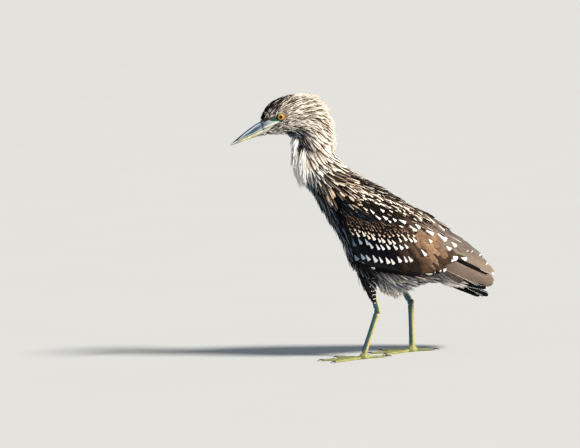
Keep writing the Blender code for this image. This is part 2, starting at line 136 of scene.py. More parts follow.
# Where each kind grows and which way it lies: x, distance from the mid-plane, z, and the angle of the lie in
# side view, from backwards (0) to downwards (-90)
LIE = [
    ("forehead", [(-160, 0, 443, 62), (-151, 0, 456, 42), (-152, 11, 449, 48), (-163, 3, 434, 66),
     (-160, 7, 438, 62), (-154, 11, 442, 56), (-147, 14, 443, 50), (-140, 9, 459, 30), (-160, 8, 429, 70)]),
    ("lore_edge", [(-146, 14, 435, 64), (-151, 13, 433, 70), (-155, 11, 430, 80), (-148, 14, 430, 66)]),
    ("crown", [(-138, 0, 462, 26), (-144, 10, 455, 34), (-142, 14, 446, 40), (-126, 0, 466, 14),
     (-131, 9, 461, 28)]),
    ("crown_side", [(-120, 10, 464, 20), (-127, 14, 452, 30), (-134, 16, 444, 36), (-112, 0, 469, 6)]),
    ("crown_rear", [(-104, 12, 463, 12), (-114, 16, 452, 24), (-98, 0, 468, -2), (-102, 18, 448, 18)]),
    ("occiput", [(-88, 0, 465, -10), (-88, 15, 455, 0), (-76, 12, 453, -18), (-90, 19, 440, 2),
     (-78, 20, 436, -18)]),
    ("nape", [(-66, 0, 452, -36), (-54, 0, 430, -56), (-46, 0, 405, -74), (-46, 0, 380, -72),
     (-64, 18, 436, -36), (-58, 18, 412, -56)]),
    ("brow", [(-133, 17, 440, 28), (-121, 18, 438, 16), (-117, 19, 432, 10)]),
    ("stripe", [(-131, 17, 418, 22), (-142, 14, 413, 20)]),
    ("ear", [(-118, 19, 426, 14)]),
    ("malar", [(-127, 16, 411, 6), (-115, 18, 415, 8), (-144, 12, 408, 14)]),
    ("chin", [(-156, 0, 400, 10), (-155, 9, 404, 15), (-140, 0, 399, 5), (-136, 12, 402, 2),
     (-122, 0, 398, -5), (-121, 13, 402, -5)]),
    ("ear", [(-107, 20, 434, 20), (-98, 20, 428, 8), (-108, 20, 420, 4), (-96, 22, 412, -16),
     (-84, 22, 418, -34)]),
    ("cheek_shade", [(-115, 12, 397, -14), (-108, 15, 392, -40), (-101, 18, 400, -34), (-106, 0, 392, -70),
     (-96, 19, 388, -50), (-92, 21, 380, -56), (-102, 15, 382, -70), (-120, 8, 399, -20),
     (-108, 0, 378, -108)]),
    ("ruff", [(-112, 0, 362, -112), (-106, 12, 366, -104), (-110, 0, 346, -108), (-104, 14, 350, -100),
     (-104, 0, 330, -100), (-100, 13, 334, -92)]),
    ("neck", [(-88, 20, 392, -50), (-75, 22, 402, -50), (-86, 24, 372, -62), (-68, 25, 378, -52),
     (-60, 26, 358, -44), (-48, 12, 385, -64), (-92, 22, 358, -72)]),
    ("neck_low", [(-80, 27, 350, -56)]),
    ("down", [(-90, 25, 338, -70), (-84, 28, 326, -62), (-76, 29, 336, -50)]),
    ("neck_low", [(-68, 30, 330, -42), (-54, 30, 336, -32), (-40, 26, 342, -26), (-30, 0, 345, -40),
     (-42, 0, 362, -54)]),
    ("shoulder", [(-66, 32, 308, -56), (-54, 38, 298, -52), (-42, 42, 286, -50), (-34, 40, 302, -38),
     (-24, 42, 288, -34), (-40, 36, 318, -34)]),
    ("breast_mid", [(-95, 0, 306, -74), (-84, 0, 286, -62), (-66, 0, 252, -62), (-48, 0, 220, -62),
     (-38, 0, 195, -68), (-26, 0, 166, -62)]),
    ("breast", [(-90, 20, 318, -68), (-82, 25, 302, -64), (-70, 31, 284, -62), (-58, 37, 264, -62),
     (-50, 41, 252, -62), (-44, 42, 232, -64), (-38, 44, 206, -68), (-28, 44, 178, -64)]),
    ("mantle", [(-10, 0, 324, -38), (-14, 20, 318, -28), (0, 28, 302, -25), (12, 0, 312, -33),
     (26, 18, 299, -26), (40, 0, 295, -33), (62, 0, 281, -34), (84, 0, 267, -38), (50, 26, 276, -28),
     (72, 24, 262, -34), (92, 20, 250, -40), (24, 36, 286, -26), (-10, 38, 294, -24)]),
    ("scapular", [(-8, 44, 282, -32), (14, 46, 270, -32), (38, 46, 260, -30), (60, 42, 250, -32),
     (82, 36, 242, -38), (-6, 48, 268, -42), (16, 50, 255, -40), (38, 52, 247, -34), (58, 50, 241, -30),
     (78, 46, 230, -38)]),
    ("rump", [(104, 0, 253, -40), (104, 24, 236, -40), (124, 0, 236, -43), (124, 18, 222, -42)]),
    ("rump_rear", [(146, 0, 218, -45), (146, 15, 208, -44), (168, 0, 200, -46)]),
    # painted shadow under the scapulars and round the folded wing
    ("painted_shadow", [(-48, 42, 264, -50), (-30, 47, 262, -50), (-14, 50, 254, -50), (-30, 50, 246, -60),
     (0, 54, 230, -60), (30, 55, 212, -60), (60, 53, 210, -58), (0, 55, 190, -62), (30, 55, 180, -60),
     (65, 51, 180, -56), (-4, 52, 168, -60), (40, 48, 156, -40), (85, 48, 205, -50), (100, 44, 180, -45),
     (80, 44, 150, -40), (120, 36, 180, -45), (110, 38, 150, -35)]),
    ("flank", [(-10, 38, 152, -66), (14, 40, 148, -45)]),
    ("belly", [(36, 36, 138, -36), (64, 32, 132, -30)]),
    ("belly_high", [(30, 42, 146, -40), (52, 40, 142, -34), (76, 37, 138, -30), (98, 30, 134, -26)]),
    ("flank", [(0, 12, 136, -58)]),
    ("belly", [(20, 0, 122, -38)]),
    ("flank", [(12, 18, 130, -52)]),
    ("breast_mid", [(-12, 0, 148, -58)]),
    ("vent", [(40, 0, 111, -48), (56, 0, 112, -58), (50, 20, 118, -60)]),
    ("undertail", [(76, 0, 118, -24), (80, 20, 122, -22)]),
    ("vent", [(34, 24, 122, -58)]),
    ("undertail", [(104, 0, 122, -20), (130, 0, 121, -22), (120, 22, 124, -22), (160, 0, 115, -34),
     (185, 0, 104, -36)]),
]
LIE_SHARPNESS = 4  # how abruptly one kind gives way to the next

# ---------------------------------------------------------------- small tools


def joined(nodes, grow=0.0):
    """The CAD nodes' meshes in one bmesh, with split vertices merged, grown along their normals."""
    whole = bmesh.new()
    for name in nodes:
        part = bmesh.new()
        part.from_mesh(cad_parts[name].data)
        bmesh.ops.remove_doubles(part, verts=part.verts, dist=1e-6)
        bmesh.ops.recalc_face_normals(part, faces=part.faces)
        part.normal_update()
        moved = [v.co + v.normal * grow for v in part.verts]
        for v, place in zip(part.verts, moved):
            v.co = place
        copy = mesh_of("part", part)
        whole.from_mesh(copy)
        bpy.data.meshes.remove(copy)
    return whole


def mesh_of(name, shape):
    """The bmesh as a smooth mesh; the bmesh is freed."""
    mesh = bpy.data.meshes.new(name)
    shape.to_mesh(mesh)
    shape.free()
    mesh.shade_smooth()
    return mesh


def object_of(name, mesh, *materials):
    obj = bpy.data.objects.new(name, mesh)
    bpy.context.scene.collection.objects.link(obj)
    for material in materials:
        obj.data.materials.append(material)
    return obj


def remeshed(name, shape, voxel, smooth):
    """The bmesh as one closed, evenly meshed skin."""
    mesh = mesh_of(name, shape)
    obj = object_of(name, mesh)
    modifier = obj.modifiers.new("remesh", "REMESH")
    modifier.mode = "VOXEL"
    modifier.voxel_size = voxel
    modifier = obj.modifiers.new("smooth", "SMOOTH")
    modifier.iterations = smooth
    graph = bpy.context.evaluated_depsgraph_get()
    done = bpy.data.meshes.new_from_object(obj.evaluated_get(graph))
    obj.modifiers.clear()
    obj.data = done
    bpy.data.meshes.remove(mesh)
    done.name = name
    done.shade_smooth()
    return obj


def read(items, name="co", kind=float, size=3):
    """A mesh's numbers of one name, in rows."""
    values = np.empty(len(items) * size, kind)
    items.foreach_get(name, values)
    return values.reshape(-1, size)


def move_vertices(mesh, places):
    mesh.vertices.foreach_set("co", np.ascontiguousarray(places).ravel())
    mesh.update()


def tree_of(mesh):
    return BVHTree.FromPolygons([v.co for v in mesh.vertices], [p.vertices for p in mesh.polygons])


def smoothstep(low, high, value):
    part = np.clip((value - low) / (high - low), 0, 1)
    return part * part * (3 - 2 * part)


def band(value, rise, fall):
    """1 between a soft rise and a soft fall, 0 outside."""
    return smoothstep(*rise, value) * (1 - smoothstep(*fall, value))


def fade(low, high, gap):
    """1 where the gap to a line is small, 0 where it is large."""
    return 1 - smoothstep(low, high, np.abs(gap))


def unit(vectors, least=0.0):
    return vectors / (np.linalg.norm(vectors, axis=1, keepdims=True) + least)


def run_of(points):
    """How far along a bent line each of its points is."""
    return np.concatenate([[0], np.cumsum(np.linalg.norm(np.diff(points, axis=0), axis=1))])


def colour_attribute(mesh, name, colours):
    attribute = mesh.attributes.new(name, "FLOAT_COLOR", "POINT")
    rgba = np.ones((len(colours), 4))
    rgba[:, :3] = colours
    attribute.data.foreach_set("color", rgba.ravel())


def vector_attribute(mesh, name, vectors):
    attribute = mesh.attributes.new(name, "FLOAT_VECTOR", "POINT")
    attribute.data.foreach_set("vector", np.ascontiguousarray(vectors, dtype=float).ravel())


def painted(base, *layers):
    """The colours, with others laid over them in turn: each is a colour and every point's share of it."""
    for colour, share in layers:
        share = np.asarray(share, float)[:, None]
        base = np.array(base) * (1 - share) + np.array(colour) * share
    return base


LOOK_DOWN = 0.0875  # the side views that the outlines and lines are drawn in look down by 5 degrees


def seen(points):
    """The points in side view, mm: what stands further from the mid-plane is seen lower."""
    return np.column_stack([points[:, 0], points[:, 2] - LOOK_DOWN * np.abs(points[:, 1])]) / MM


def within(points, outline):
    """Which points lie inside a closed outline in side view."""
    x, z = seen(points).T
    inside = np.zeros(len(points), bool)
    for (ax, az), (bx, bz) in zip(outline, outline[1:] + outline[:1]):
        crosses = (az > z) != (bz > z)
        level = (bx - ax) * (z - az) / (bz - az + 1e-9) + ax
        inside ^= crosses & (x < level)
    return inside


def inside_share(points, outline, soft):
    """1 inside a closed outline in side view, 0 outside, with an edge that is a little soft (mm)."""
    gap = np.abs(off_line(points, outline + outline[:1]))
    return smoothstep(-soft, soft, np.where(within(points, outline), gap, -gap))


def off_line(points, line):
    """How far each point is from a bent line in side view, and on which side (above is positive), mm."""
    flat = seen(points)
    best = np.full(len(points), 1e9)
    side = np.zeros(len(points))
    for a, b in zip(np.array(line, float), np.array(line[1:], float)):
        span = b - a
        share = np.clip((flat - a) @ span / (span @ span), 0, 1)
        off = flat - a - share[:, None] * span
        gap = np.hypot(*off.T)
        near = gap < best
        best = np.where(near, gap, best)
        side = np.where(near, np.sign(off[:, 1]), side)
    return best * side


# ---------------------------------------------------------------- the fields that say what grows where

LIE_ROWS = np.array([row for _, rows in LIE for row in rows], float)
LIE_PLACES = LIE_ROWS[:, :3] * MM
LIE_ANGLES = np.radians(LIE_ROWS[:, 3])
WORDS = list(KINDS)


def flattened(name):
    """A kind's values in one row, its colours spread out."""
    row = []
    for value in KINDS[name]:
        row.extend(value if isinstance(value, tuple) else [value])
    return row


KIND_ROWS = np.array([flattened(name) for name in WORDS], float)
KIND_OF_PLACE = KIND_ROWS[[WORDS.index(kind) for kind, rows in LIE for _ in rows]]
LENGTH, HALF, SPACING, STRETCH, DEPTH, FREE = range(6)
TONE, MARK = slice(6, 9), slice(9, 12)
STREAK, SPOT, POINT, BLUNT = range(12, 16)
THIGHS = {side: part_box(f"thigh_{side}") for side in SIDES}
THIGH_TOP = 0.62  # how far up its box a thigh's own feathers start
# each thigh's middle line in side view: where it would meet the floor, and how far it leans forward going up
THIGH_LINE = {"left": (0.030, 0.19), "right": (0.119, 0.54)}
POINTS_AT_ONCE = 20000


def thigh_share(points):
    """How far down a thigh's feathers each point is: 0 above them, 1 at their lower end."""
    share = np.zeros(len(points))
    x, y, z = points.T
    for side, sign in SIDES.items():
        low, high = THIGHS[side]
        wide, tall = high.x - low.x, high.z - low.z
        top = low.z + tall * THIGH_TOP
        reach = wide * (0.3 + 0.3 * ((z - low.z) / tall))
        over = (y * sign > 0.006) & (np.abs(x - (low.x + wide * 0.5)) < reach)
        down = np.clip((top - z) / (top - low.z), 0, 1)
        share = np.where(over, np.maximum(share, down), share)
    return share


def plumage_at(points):
    """For each point, its kinds blended into one row of numbers, and the lie as a unit vector."""
    points = np.atleast_2d(points)
    folded = points * [1, 0, 1] + np.abs(points) * [0, 1, 0]
    rows = np.empty((len(points), KIND_OF_PLACE.shape[1]))
    ways = np.zeros((len(points), 3))
    for start in range(0, len(points), POINTS_AT_ONCE):
        part = slice(start, start + POINTS_AT_ONCE)
        gap = np.linalg.norm(folded[part, None] - LIE_PLACES[None], axis=2)
        weight = 1 / (gap + 0.002) ** LIE_SHARPNESS
        weight /= weight.sum(1, keepdims=True)
        rows[part] = weight @ KIND_OF_PLACE
        ways[part, 0] = weight @ np.cos(LIE_ANGLES)
        ways[part, 2] = weight @ np.sin(LIE_ANGLES)
    share = thigh_share(points)[:, None]
    front, rear, end = (KIND_ROWS[WORDS.index(name)] for name in ("thigh", "thigh_bar", "thigh_end"))
    lines = {side: foot - lean * points[:, 2] for side, (foot, lean) in THIGH_LINE.items()}
    middle = np.where(points[:, 1] < 0, lines["left"], lines["right"])
    # painted shade: a thigh's front near black with blue-grey streaks, its rear with cream bars, split at its
    # middle line
    thigh = front + (rear - front) * smoothstep(-0.001, 0.003, points[:, 0] - middle)[:, None]
    leg = thigh + (end - thigh) * smoothstep(0.55, 1.0, share)
    blend = smoothstep(0.02, 0.22, share)
    rows += (leg - rows) * blend
    ways += (np.array([0.22, 0.0, -0.97]) - ways) * blend
    return rows, unit(ways)


# ---------------------------------------------------------------- bare face

# Outlines and lines in side view, mm
BARE_FACE = [
    (-170, 427), (-166, 425.5), (-160.5, 421.5), (-156, 424.2), (-151.5, 424.6), (-148, 426.2), (-142.8, 428),
    (-140, 431.5), (-139, 436), (-131.5, 438), (-124.5, 434.5), (-122.5, 428.5), (-124.5, 423), (-128, 420.8),
    (-132, 420.2), (-142.2, 416.6), (-149.1, 412), (-153.7, 407.6), (-160, 403.6), (-167, 400.5),
    (-170, 400.5),
]
GAPE = [
    (-225, 384), (-206, 392.7), (-195, 397.5), (-180, 403), (-166, 409), (-152, 413.2), (-141, 417.2),
    (-130, 421),
]
RIDGE = [(-225, 386), (-200, 404.1), (-180, 417.8), (-165, 425.5)]
LORE = [
    (-152.5, 424.4), (-148, 426.2), (-142.8, 428), (-139, 432), (-136, 432), (-134.5, 424.5), (-138.5, 421.8),
    (-148.5, 422),
]
WING_FACE = [
    (-26, 246), (-10, 243), (21, 238), (50, 228), (84, 222), (104, 226), (126, 216), (150, 203), (186, 175),
    (226, 138), (226, 108), (200, 106), (165, 119), (130, 138), (85, 137), (50, 146), (10, 155), (-8, 166),
    (-15, 172), (-22, 210),
]
EYE_BOXES = {side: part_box(f"eye_{side}") for side in SIDES}
EYE_BALLS = {side: (low + high) / 2 for side, (low, high) in EYE_BOXES.items()}
EYE_RADIUS = (EYE_BOXES["left"][1].z - EYE_BOXES["left"][0].z) / 2
BILL_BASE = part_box("bill_upper")[1].x
TAIL_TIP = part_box("tail")[1]
RUMP_END = 0.147  # behind it larger feathers cover the rump
UNDERTAIL_END = 0.148  # behind it the tail's underside is bare of small feathers
TAIL_UNDERSIDE = 0.135


def bare(points):
    """Where no small feathers grow: the lores and eyes, the bill's base, the tail and the laid wing."""
    x, y, z = points.T
    out = within(points, BARE_FACE) & (np.abs(y) > 0.004)
    out |= x < BILL_BASE + 0.0008
    out |= within(points, WING_FACE) & (np.abs(y) > 0.024) & (thigh_share(points) == 0)
    out |= (x > UNDERTAIL_END) & (z < TAIL_UNDERSIDE)
    out |= x > RUMP_END
    return out


def bare_face_colours(points, colours):
    """The bird's bare skin, painted over the skin's own colours."""
    x, y, _ = points.T
    side_x, side_z = seen(points).T
    above = off_line(points, GAPE)
    rear = smoothstep(-0.165, -0.146, x)
    folds = np.sin(above * 2.6 + x * 420) * 0.5 + 0.5
    green = painted((0.010, 0.034, 0.022), ((0.040, 0.150, 0.075), smoothstep(426.5, 422.5, side_z)))
    from_eye = np.hypot(side_x + 131.5, (side_z - 429.3) * 1.25)
    skin = painted(
        (0.20, 0.27, 0.33),
        ((0.70, 0.74, 0.70), rear * 0.8),
        ((0.13, 0.19, 0.24), folds * (1 - rear * 0.7) * 0.75),
        ((0.86, 0.84, 0.72), band(above, (0.2, 1.2), (2.6, 5.0))),
        ((0.16, 0.17, 0.15), fade(0.2, 0.6, above)),
        ((0.80, 0.78, 0.62), smoothstep(0.5, 1.1, -above)),
        (green, inside_share(points, LORE, 0.6)),
        ((0.020, 0.016, 0.014), fade(9.0, 10.5, from_eye) * smoothstep(-0.1345, -0.1385, x)),
    )
    return painted(colours, (skin, inside_share(points, BARE_FACE, 0.7) * (np.abs(y) > 0.003)))


# ---------------------------------------------------------------- skin

FLESH = ["head", "neck", "trunk", "tail", "thigh_left", "thigh_right", "wing_left", "wing_right"]
COAT_SHARE = 0.44  # the most of a body part's thickness that its coat takes, on each side
FINE_FACE = (-0.120, 0.398), (-0.172, 0.444)  # the corners, in x and z, of the part with a finer mesh


def make_skin():
    """One closed skin over the flesh, sunk by the coat's depth, and finer at the face."""
    skin = remeshed("skin", joined(FLESH, grow=0.0005), 0.002, smooth=4)
    mesh = skin.data
    places, normals = read(mesh.vertices), read(mesh.vertex_normals, "vector")
    tree = tree_of(mesh)
    rows, _ = plumage_at(places)
    depth = rows[:, DEPTH] * MM
    face = within(places, BARE_FACE) & (np.abs(places[:, 1]) > 0.003)
    depth[face] = 0.0007
    for i, (place, normal) in enumerate(zip(places, normals)):
        start = Vector(place) - Vector(normal) * 0.0003
        _, _, _, through = tree.ray_cast(start, -Vector(normal), 0.02)
        if through is not None:
            depth[i] = min(depth[i], through * COAT_SHARE)
    # an even depth round each vertex, so that the skin keeps smooth
    a, b = read(mesh.edges, "vertices", int, 2).T
    for _ in range(6):
        total, count = depth.copy(), np.ones(len(depth))
        for here, there in ((a, b), (b, a)):
            np.add.at(total, here, depth[there])
            np.add.at(count, here, 1)
        depth = np.minimum(depth, total / count) * 0.5 + total / count * 0.5
    move_vertices(mesh, places - normals * depth[:, None])
    # a finer mesh where the face's bare skin needs it
    shape = bmesh.new()
    shape.from_mesh(mesh)
    (rear, foot), (front, top) = FINE_FACE
    for _ in range(2):
        face = {v for v in shape.verts
                if front < v.co.x < rear and foot < v.co.z < top and abs(v.co.y) > 0.001}
        fine = [e for e in shape.edges if face.issuperset(e.verts)]
        bmesh.ops.subdivide_edges(shape, edges=fine, cuts=1, use_grid_fill=True, smooth=0.6)
    shape.to_mesh(mesh)
    shape.free()
    mesh.shade_smooth()
    places = read(mesh.vertices)
    rows, _ = plumage_at(places)
    under_wing = within(places, WING_FACE) & (np.abs(places[:, 1]) > 0.02)
    under_tail = (places[:, 0] > UNDERTAIL_END) & (places[:, 2] < TAIL_UNDERSIDE)
    # painted shade: the skin at 0.4 of the plumage's ground, so that it reads as shade where it shows between
    # the vanes, and near black under the folded wing and the tail
    colours = painted(rows[:, TONE] * 0.4 + rows[:, MARK] * 0.02, (INK, under_wing), (INK, under_tail))
    colour_attribute(mesh, "tone", bare_face_colours(places, colours))
    return skin


# ---------------------------------------------------------------- vanes

PATCH = 0.003  # a small vane's patch on the unwrap
WIDE_PATCH = 0.009  # a wing or tail feather's

MIDDLE_LINE = np.array([[-165, 415], [-128, 430], [-90, 425], [-78, 395], [-80, 365], [-64, 330], [-30, 290],
                        [10, 245], [60, 195], [110, 165], [160, 140], [215, 110]], float) * MM


def unwrapped(points):
    """The skin unrolled: along the bird's middle line, and round it."""
    flat = points[:, [0, 2]]
    best = np.full(len(points), 1e9)
    along, across = np.zeros(len(points)), np.zeros(len(points))
    run = 0.0
    for a, b in zip(MIDDLE_LINE, MIDDLE_LINE[1:]):
        span = b - a
        size = np.linalg.norm(span)
        way = span / size
        share = np.clip((flat - a) @ way / size, 0, 1)
        off = flat - a - share[:, None] * span
        gap = np.linalg.norm(off, axis=1)
        near = gap < best
        best = np.where(near, gap, best)
        along = np.where(near, run + share * size, along)
        side = off @ np.array([-way[1], way[0]])
        across = np.where(near, np.arctan2(points[:, 1], side), across)
        run += size
    return np.column_stack([0.02 + 0.96 * (across / (2 * pi) + 0.5), 0.02 + 0.96 * along / run])


class Coat:
    """Vanes gathered into one mesh. Each is closed and thin: rings of points from root to tip."""

    def __init__(self, patch=PATCH):
        self.vanes = []
        self.patch = patch

    def add(self, lines, lift, tone, mark, form, cut):
        """A vane from lines that run root to tip, ordered left to right, and the way its thickness goes.

        Its cut is the width's share at each step, how far a tip spot flares, and how worn the vane is.
        """
        lines = np.array(lines)
        inner = lines[1:-1]
        rings = np.concatenate([lines[:1], inner + lift, lines[-1:], (inner - lift)[::-1]]).transpose(1, 0, 2)
        root = lines[len(lines) // 2][0]
        self.vanes.append((rings, tone, mark, form, cut, RANDOM.random(), root))

    def build(self, name, material, slot, replaced=()):
        parts = {word: [] for word in ("place", "quill", "cut", "tone", "mark", "form", "root")}
        loops, sizes, base = [], [], 0
        for rings, tone, mark, form, (share, flare, worn), chance, root in self.vanes:
            steps, count, _ = rings.shape
            total = steps * count
            across = np.linspace(-1, 1, count // 2 + 1)
            s = np.tile(np.concatenate([across, across[-2:0:-1]]), steps)
            t = np.repeat(np.linspace(0, 1, steps), count)
            parts["place"].append(rings.reshape(-1, 3))
            parts["quill"].append(np.column_stack([t, s, np.full(total, chance)]))
            cut = [np.repeat(share, count), np.full(total, flare), np.full(total, worn)]
            parts["cut"].append(np.column_stack(cut))
            for word, row in (("tone", tone), ("mark", mark), ("form", form), ("root", root)):
                parts[word].append(np.tile(row, (total, 1)))
            corner = np.arange(count)
            here = np.arange(steps - 1)[:, None] * count + corner
            beside = here - corner + np.roll(corner, -1)
            quads = np.stack([here, beside, beside + count, here + count], axis=2)
            loops += [quads.ravel() + base, corner[::-1] + base, total - count + corner + base]
            sizes += [4] * (quads.size // 4) + [count] * 2
            base += total
        whole = {word: np.vstack(rows) for word, rows in parts.items()}
        loops, sizes = np.concatenate(loops), np.array(sizes)
        mesh = bpy.data.meshes.new(name)
        mesh.vertices.add(base)
        mesh.vertices.foreach_set("co", whole["place"].ravel())
        mesh.loops.add(len(loops))
        mesh.loops.foreach_set("vertex_index", loops)
        mesh.polygons.add(len(sizes))
        mesh.polygons.foreach_set("loop_start", np.cumsum(sizes) - sizes)
        mesh.update(calc_edges=True)
        mesh.shade_smooth()
        mesh.set_sharp_from_angle(angle=radians(75))
        for word in ("quill", "form", "cut"):
            vector_attribute(mesh, word, whole[word])
        for word in ("tone", "mark"):
            colour_attribute(mesh, word, whole[word])
        spot = unwrapped(whole["root"]) + (whole["quill"][:, [1, 0]] * [0.5, 1] - [0, 0.5]) * self.patch
        mesh.uv_layers.new(name="OFBake").data.foreach_set("uv", np.clip(spot, 0.001, 0.999)[loops].ravel())
        piece = object_of(name, mesh, material)
        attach(piece, "root")
        if replaced:
            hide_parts(*replaced)
        print(name, len(self.vanes), "vanes,", (sizes - 2).sum(), "triangles")


def width_profile(t, point, blunt):
    """A vane's width from root (t 0) to tip (t 1), as a share of its widest."""
    rise = np.clip(t / 0.3, 0, 1) ** 0.6 * 0.6 + 0.4
    past = np.clip((t - point) / (1 - point), 0, 1)
    round_tip = np.sqrt(np.clip(1 - past**3, 0, 1))
    sharp_tip = (1 - past) ** 0.85
    return rise * (round_tip * blunt + sharp_tip * (1 - blunt)) + 0.02


def ring_places(steps, blunt):
    """Where a vane's rings stand along it: closer towards a blunt tip."""
    t = np.linspace(0, 1, steps + 1)
    return t if blunt < 0.5 else 1 - (1 - t) ** 1.35


CLUMP = 0.0040  # about how far apart pale and dark clumps of vanes are
SPOT_FLARE = 0.7  # how much wider a small feather's tip spot grows towards the tip
EDGE_DROP = 0.32  # how far a small vane's edges bend down, as a share of its half width
STEPS = 8  # along a small vane
# half the thickness of a small vane, a wing feather, a hanging feather and a tail feather
VANE_THICK, WING_THICK, HANG_THICK, TAIL_THICK = 0.00018, 0.00022, 0.0002, 0.00025


def grow(coat, roots):
    """Draws a vane from each root over the skin, by the kinds and the lie there."""
    rows, ways = plumage_at(roots)
    count = len(roots)
    length = rows[:, LENGTH] * MM * between(0.82, 1.15, count)
    half = rows[:, HALF] * MM * between(0.80, 1.15, count)
    turn = off(0.12, count)
    bright = between(0.75, 1.20, count)
    lift = 1 + between(-0.17, 0.17, count) * np.clip(0.15 + rows[:, FREE] * 4, 0, 1)
    twist = off(0.75, count)
    loud = smoothstep(-0.14, 0.16, np.array([noise.noise(Vector(root) / CLUMP) for root in roots]))
    streak = np.maximum(rows[:, STREAK] * between(0.75, 1.40, count) * (0.22 + 0.90 * loud) - 0.06, 0)
    for i, root in enumerate(roots):
        row = rows[i]
        t = ring_places(STEPS, row[BLUNT])
        share = width_profile(t, row[POINT], row[BLUNT])
        profile = half[i] * share
        height = (-0.0004 + (row[DEPTH] * MM + 0.0003) * t**0.75) * lift[i]
        free = np.clip(row[FREE] * lift[i], 0, 1) * t**1.6
        place, normal, _, _ = SKIN.find_nearest(Vector(root))
        way = Vector(ways[i])
        way -= normal * way.dot(normal)
        if way.length < 1e-4:
            continue
        way.normalize()
        way.rotate(Matrix.Rotation(turn[i], 3, normal))
        first, first_way, first_normal = place.copy(), way.copy(), normal.copy()
        lefts, centres, rights, normals = [], [], [], []
        at, before = place, 0.0
        for k in range(STEPS + 1):
            run = length[i] * t[k]
            at = at + way * (length[i] * (t[k] - before))
            before = t[k]
            place, facing, _, _ = SKIN.find_nearest(at)
            normal = (normal + facing).normalized()
            way = way - normal * way.dot(normal)
            way.normalize()
            side = way.cross(normal)
            out = place + normal * height[k]
            straight = first + first_way * run + first_normal * (height[k] + run * 0.12)
            centre = out.lerp(straight, free[k])
            w = profile[k]
            tilt = Matrix.Rotation(twist[i] * free[k], 3, way)
            side, normal = tilt @ side, tilt @ normal
            drop = normal * (w * EDGE_DROP)
            centres.append(centre)
            lefts.append(centre - side * w - drop)
            rights.append(centre + side * w - drop)
            normals.append(normal)
            at = place
        coat.add([lefts, centres, rights], np.array(normals) * VANE_THICK, row[TONE] * bright[i],
                 row[MARK] * (0.88 + 0.12 * bright[i]), (streak[i], row[SPOT], 0.0), (share, SPOT_FLARE, 0.0))


TRIES = 9  # how many points are tried for each that the surface has room for
CELL = 0.010  # points are looked up by cells of this size


def scattered(mesh, wanted):
    """Points spread over the mesh's faces, kept apart by the kinds' spacing, which is wider along the lie."""
    mesh.calc_loop_triangles()
    corners = read(mesh.vertices)[read(mesh.loop_triangles, "vertices", int)]
    facing = np.cross(corners[:, 1] - corners[:, 0], corners[:, 2] - corners[:, 0])
    area = np.linalg.norm(facing, axis=1) / 2
    facing /= area[:, None] * 2 + 1e-15
    middle = corners.mean(1)
    rows, ways = plumage_at(middle)
    gap = rows[:, SPACING] * MM
    density = np.where(wanted(middle), area / (gap**2 * rows[:, STRETCH]), 0)
    number = int(density.sum() * TRIES)
    pick = RANDOM.choice(len(area), number, p=density / density.sum())
    u, v = RANDOM.random(number), RANDOM.random(number)
    over = u + v > 1
    u[over], v[over] = 1 - u[over], 1 - v[over]
    c = corners[pick]
    points = c[:, 0] + (c[:, 1] - c[:, 0]) * u[:, None] + (c[:, 2] - c[:, 0]) * v[:, None]
    lie = unit(ways[pick] - facing[pick] * (ways[pick] * facing[pick]).sum(1, keepdims=True), 1e-9)
    across = gap[pick]
    along = across * rows[pick, STRETCH]
    cells, kept = {}, []
    keys = np.floor(points / CELL).astype(int)
    for i in range(number):
        reach = int(np.ceil(along[i] / CELL))
        x, y, z = keys[i]
        steps = product(range(-reach, reach + 1), repeat=3)
        near = [k for dx, dy, dz in steps for k in cells.get((x + dx, y + dy, z + dz), ())]
        if near:
            off = points[near] - points[i]
            run = off @ lie[i]
            wide = np.maximum((off**2).sum(1) - run**2, 0)
            if ((run / along[i]) ** 2 + wide / across[i] ** 2 < 1).any():
                continue
        cells.setdefault((x, y, z), []).append(i)
        kept.append(i)
    return points[kept]


# ---------------------------------------------------------------- materials


class Value:
    """A node's output, for use in sums like a number."""

    def __init__(self, nodes, socket):
        self.nodes, self.socket = nodes, socket

    def __add__(self, other):
        return self.nodes.math("ADD", self, other)

    def __sub__(self, other):
        return self.nodes.math("SUBTRACT", self, other)

    def __rsub__(self, other):
        return self.nodes.math("SUBTRACT", other, self)

    def __mul__(self, other):
        return self.nodes.math("MULTIPLY", self, other)

    def __truediv__(self, other):
        return self.nodes.math("DIVIDE", self, other)


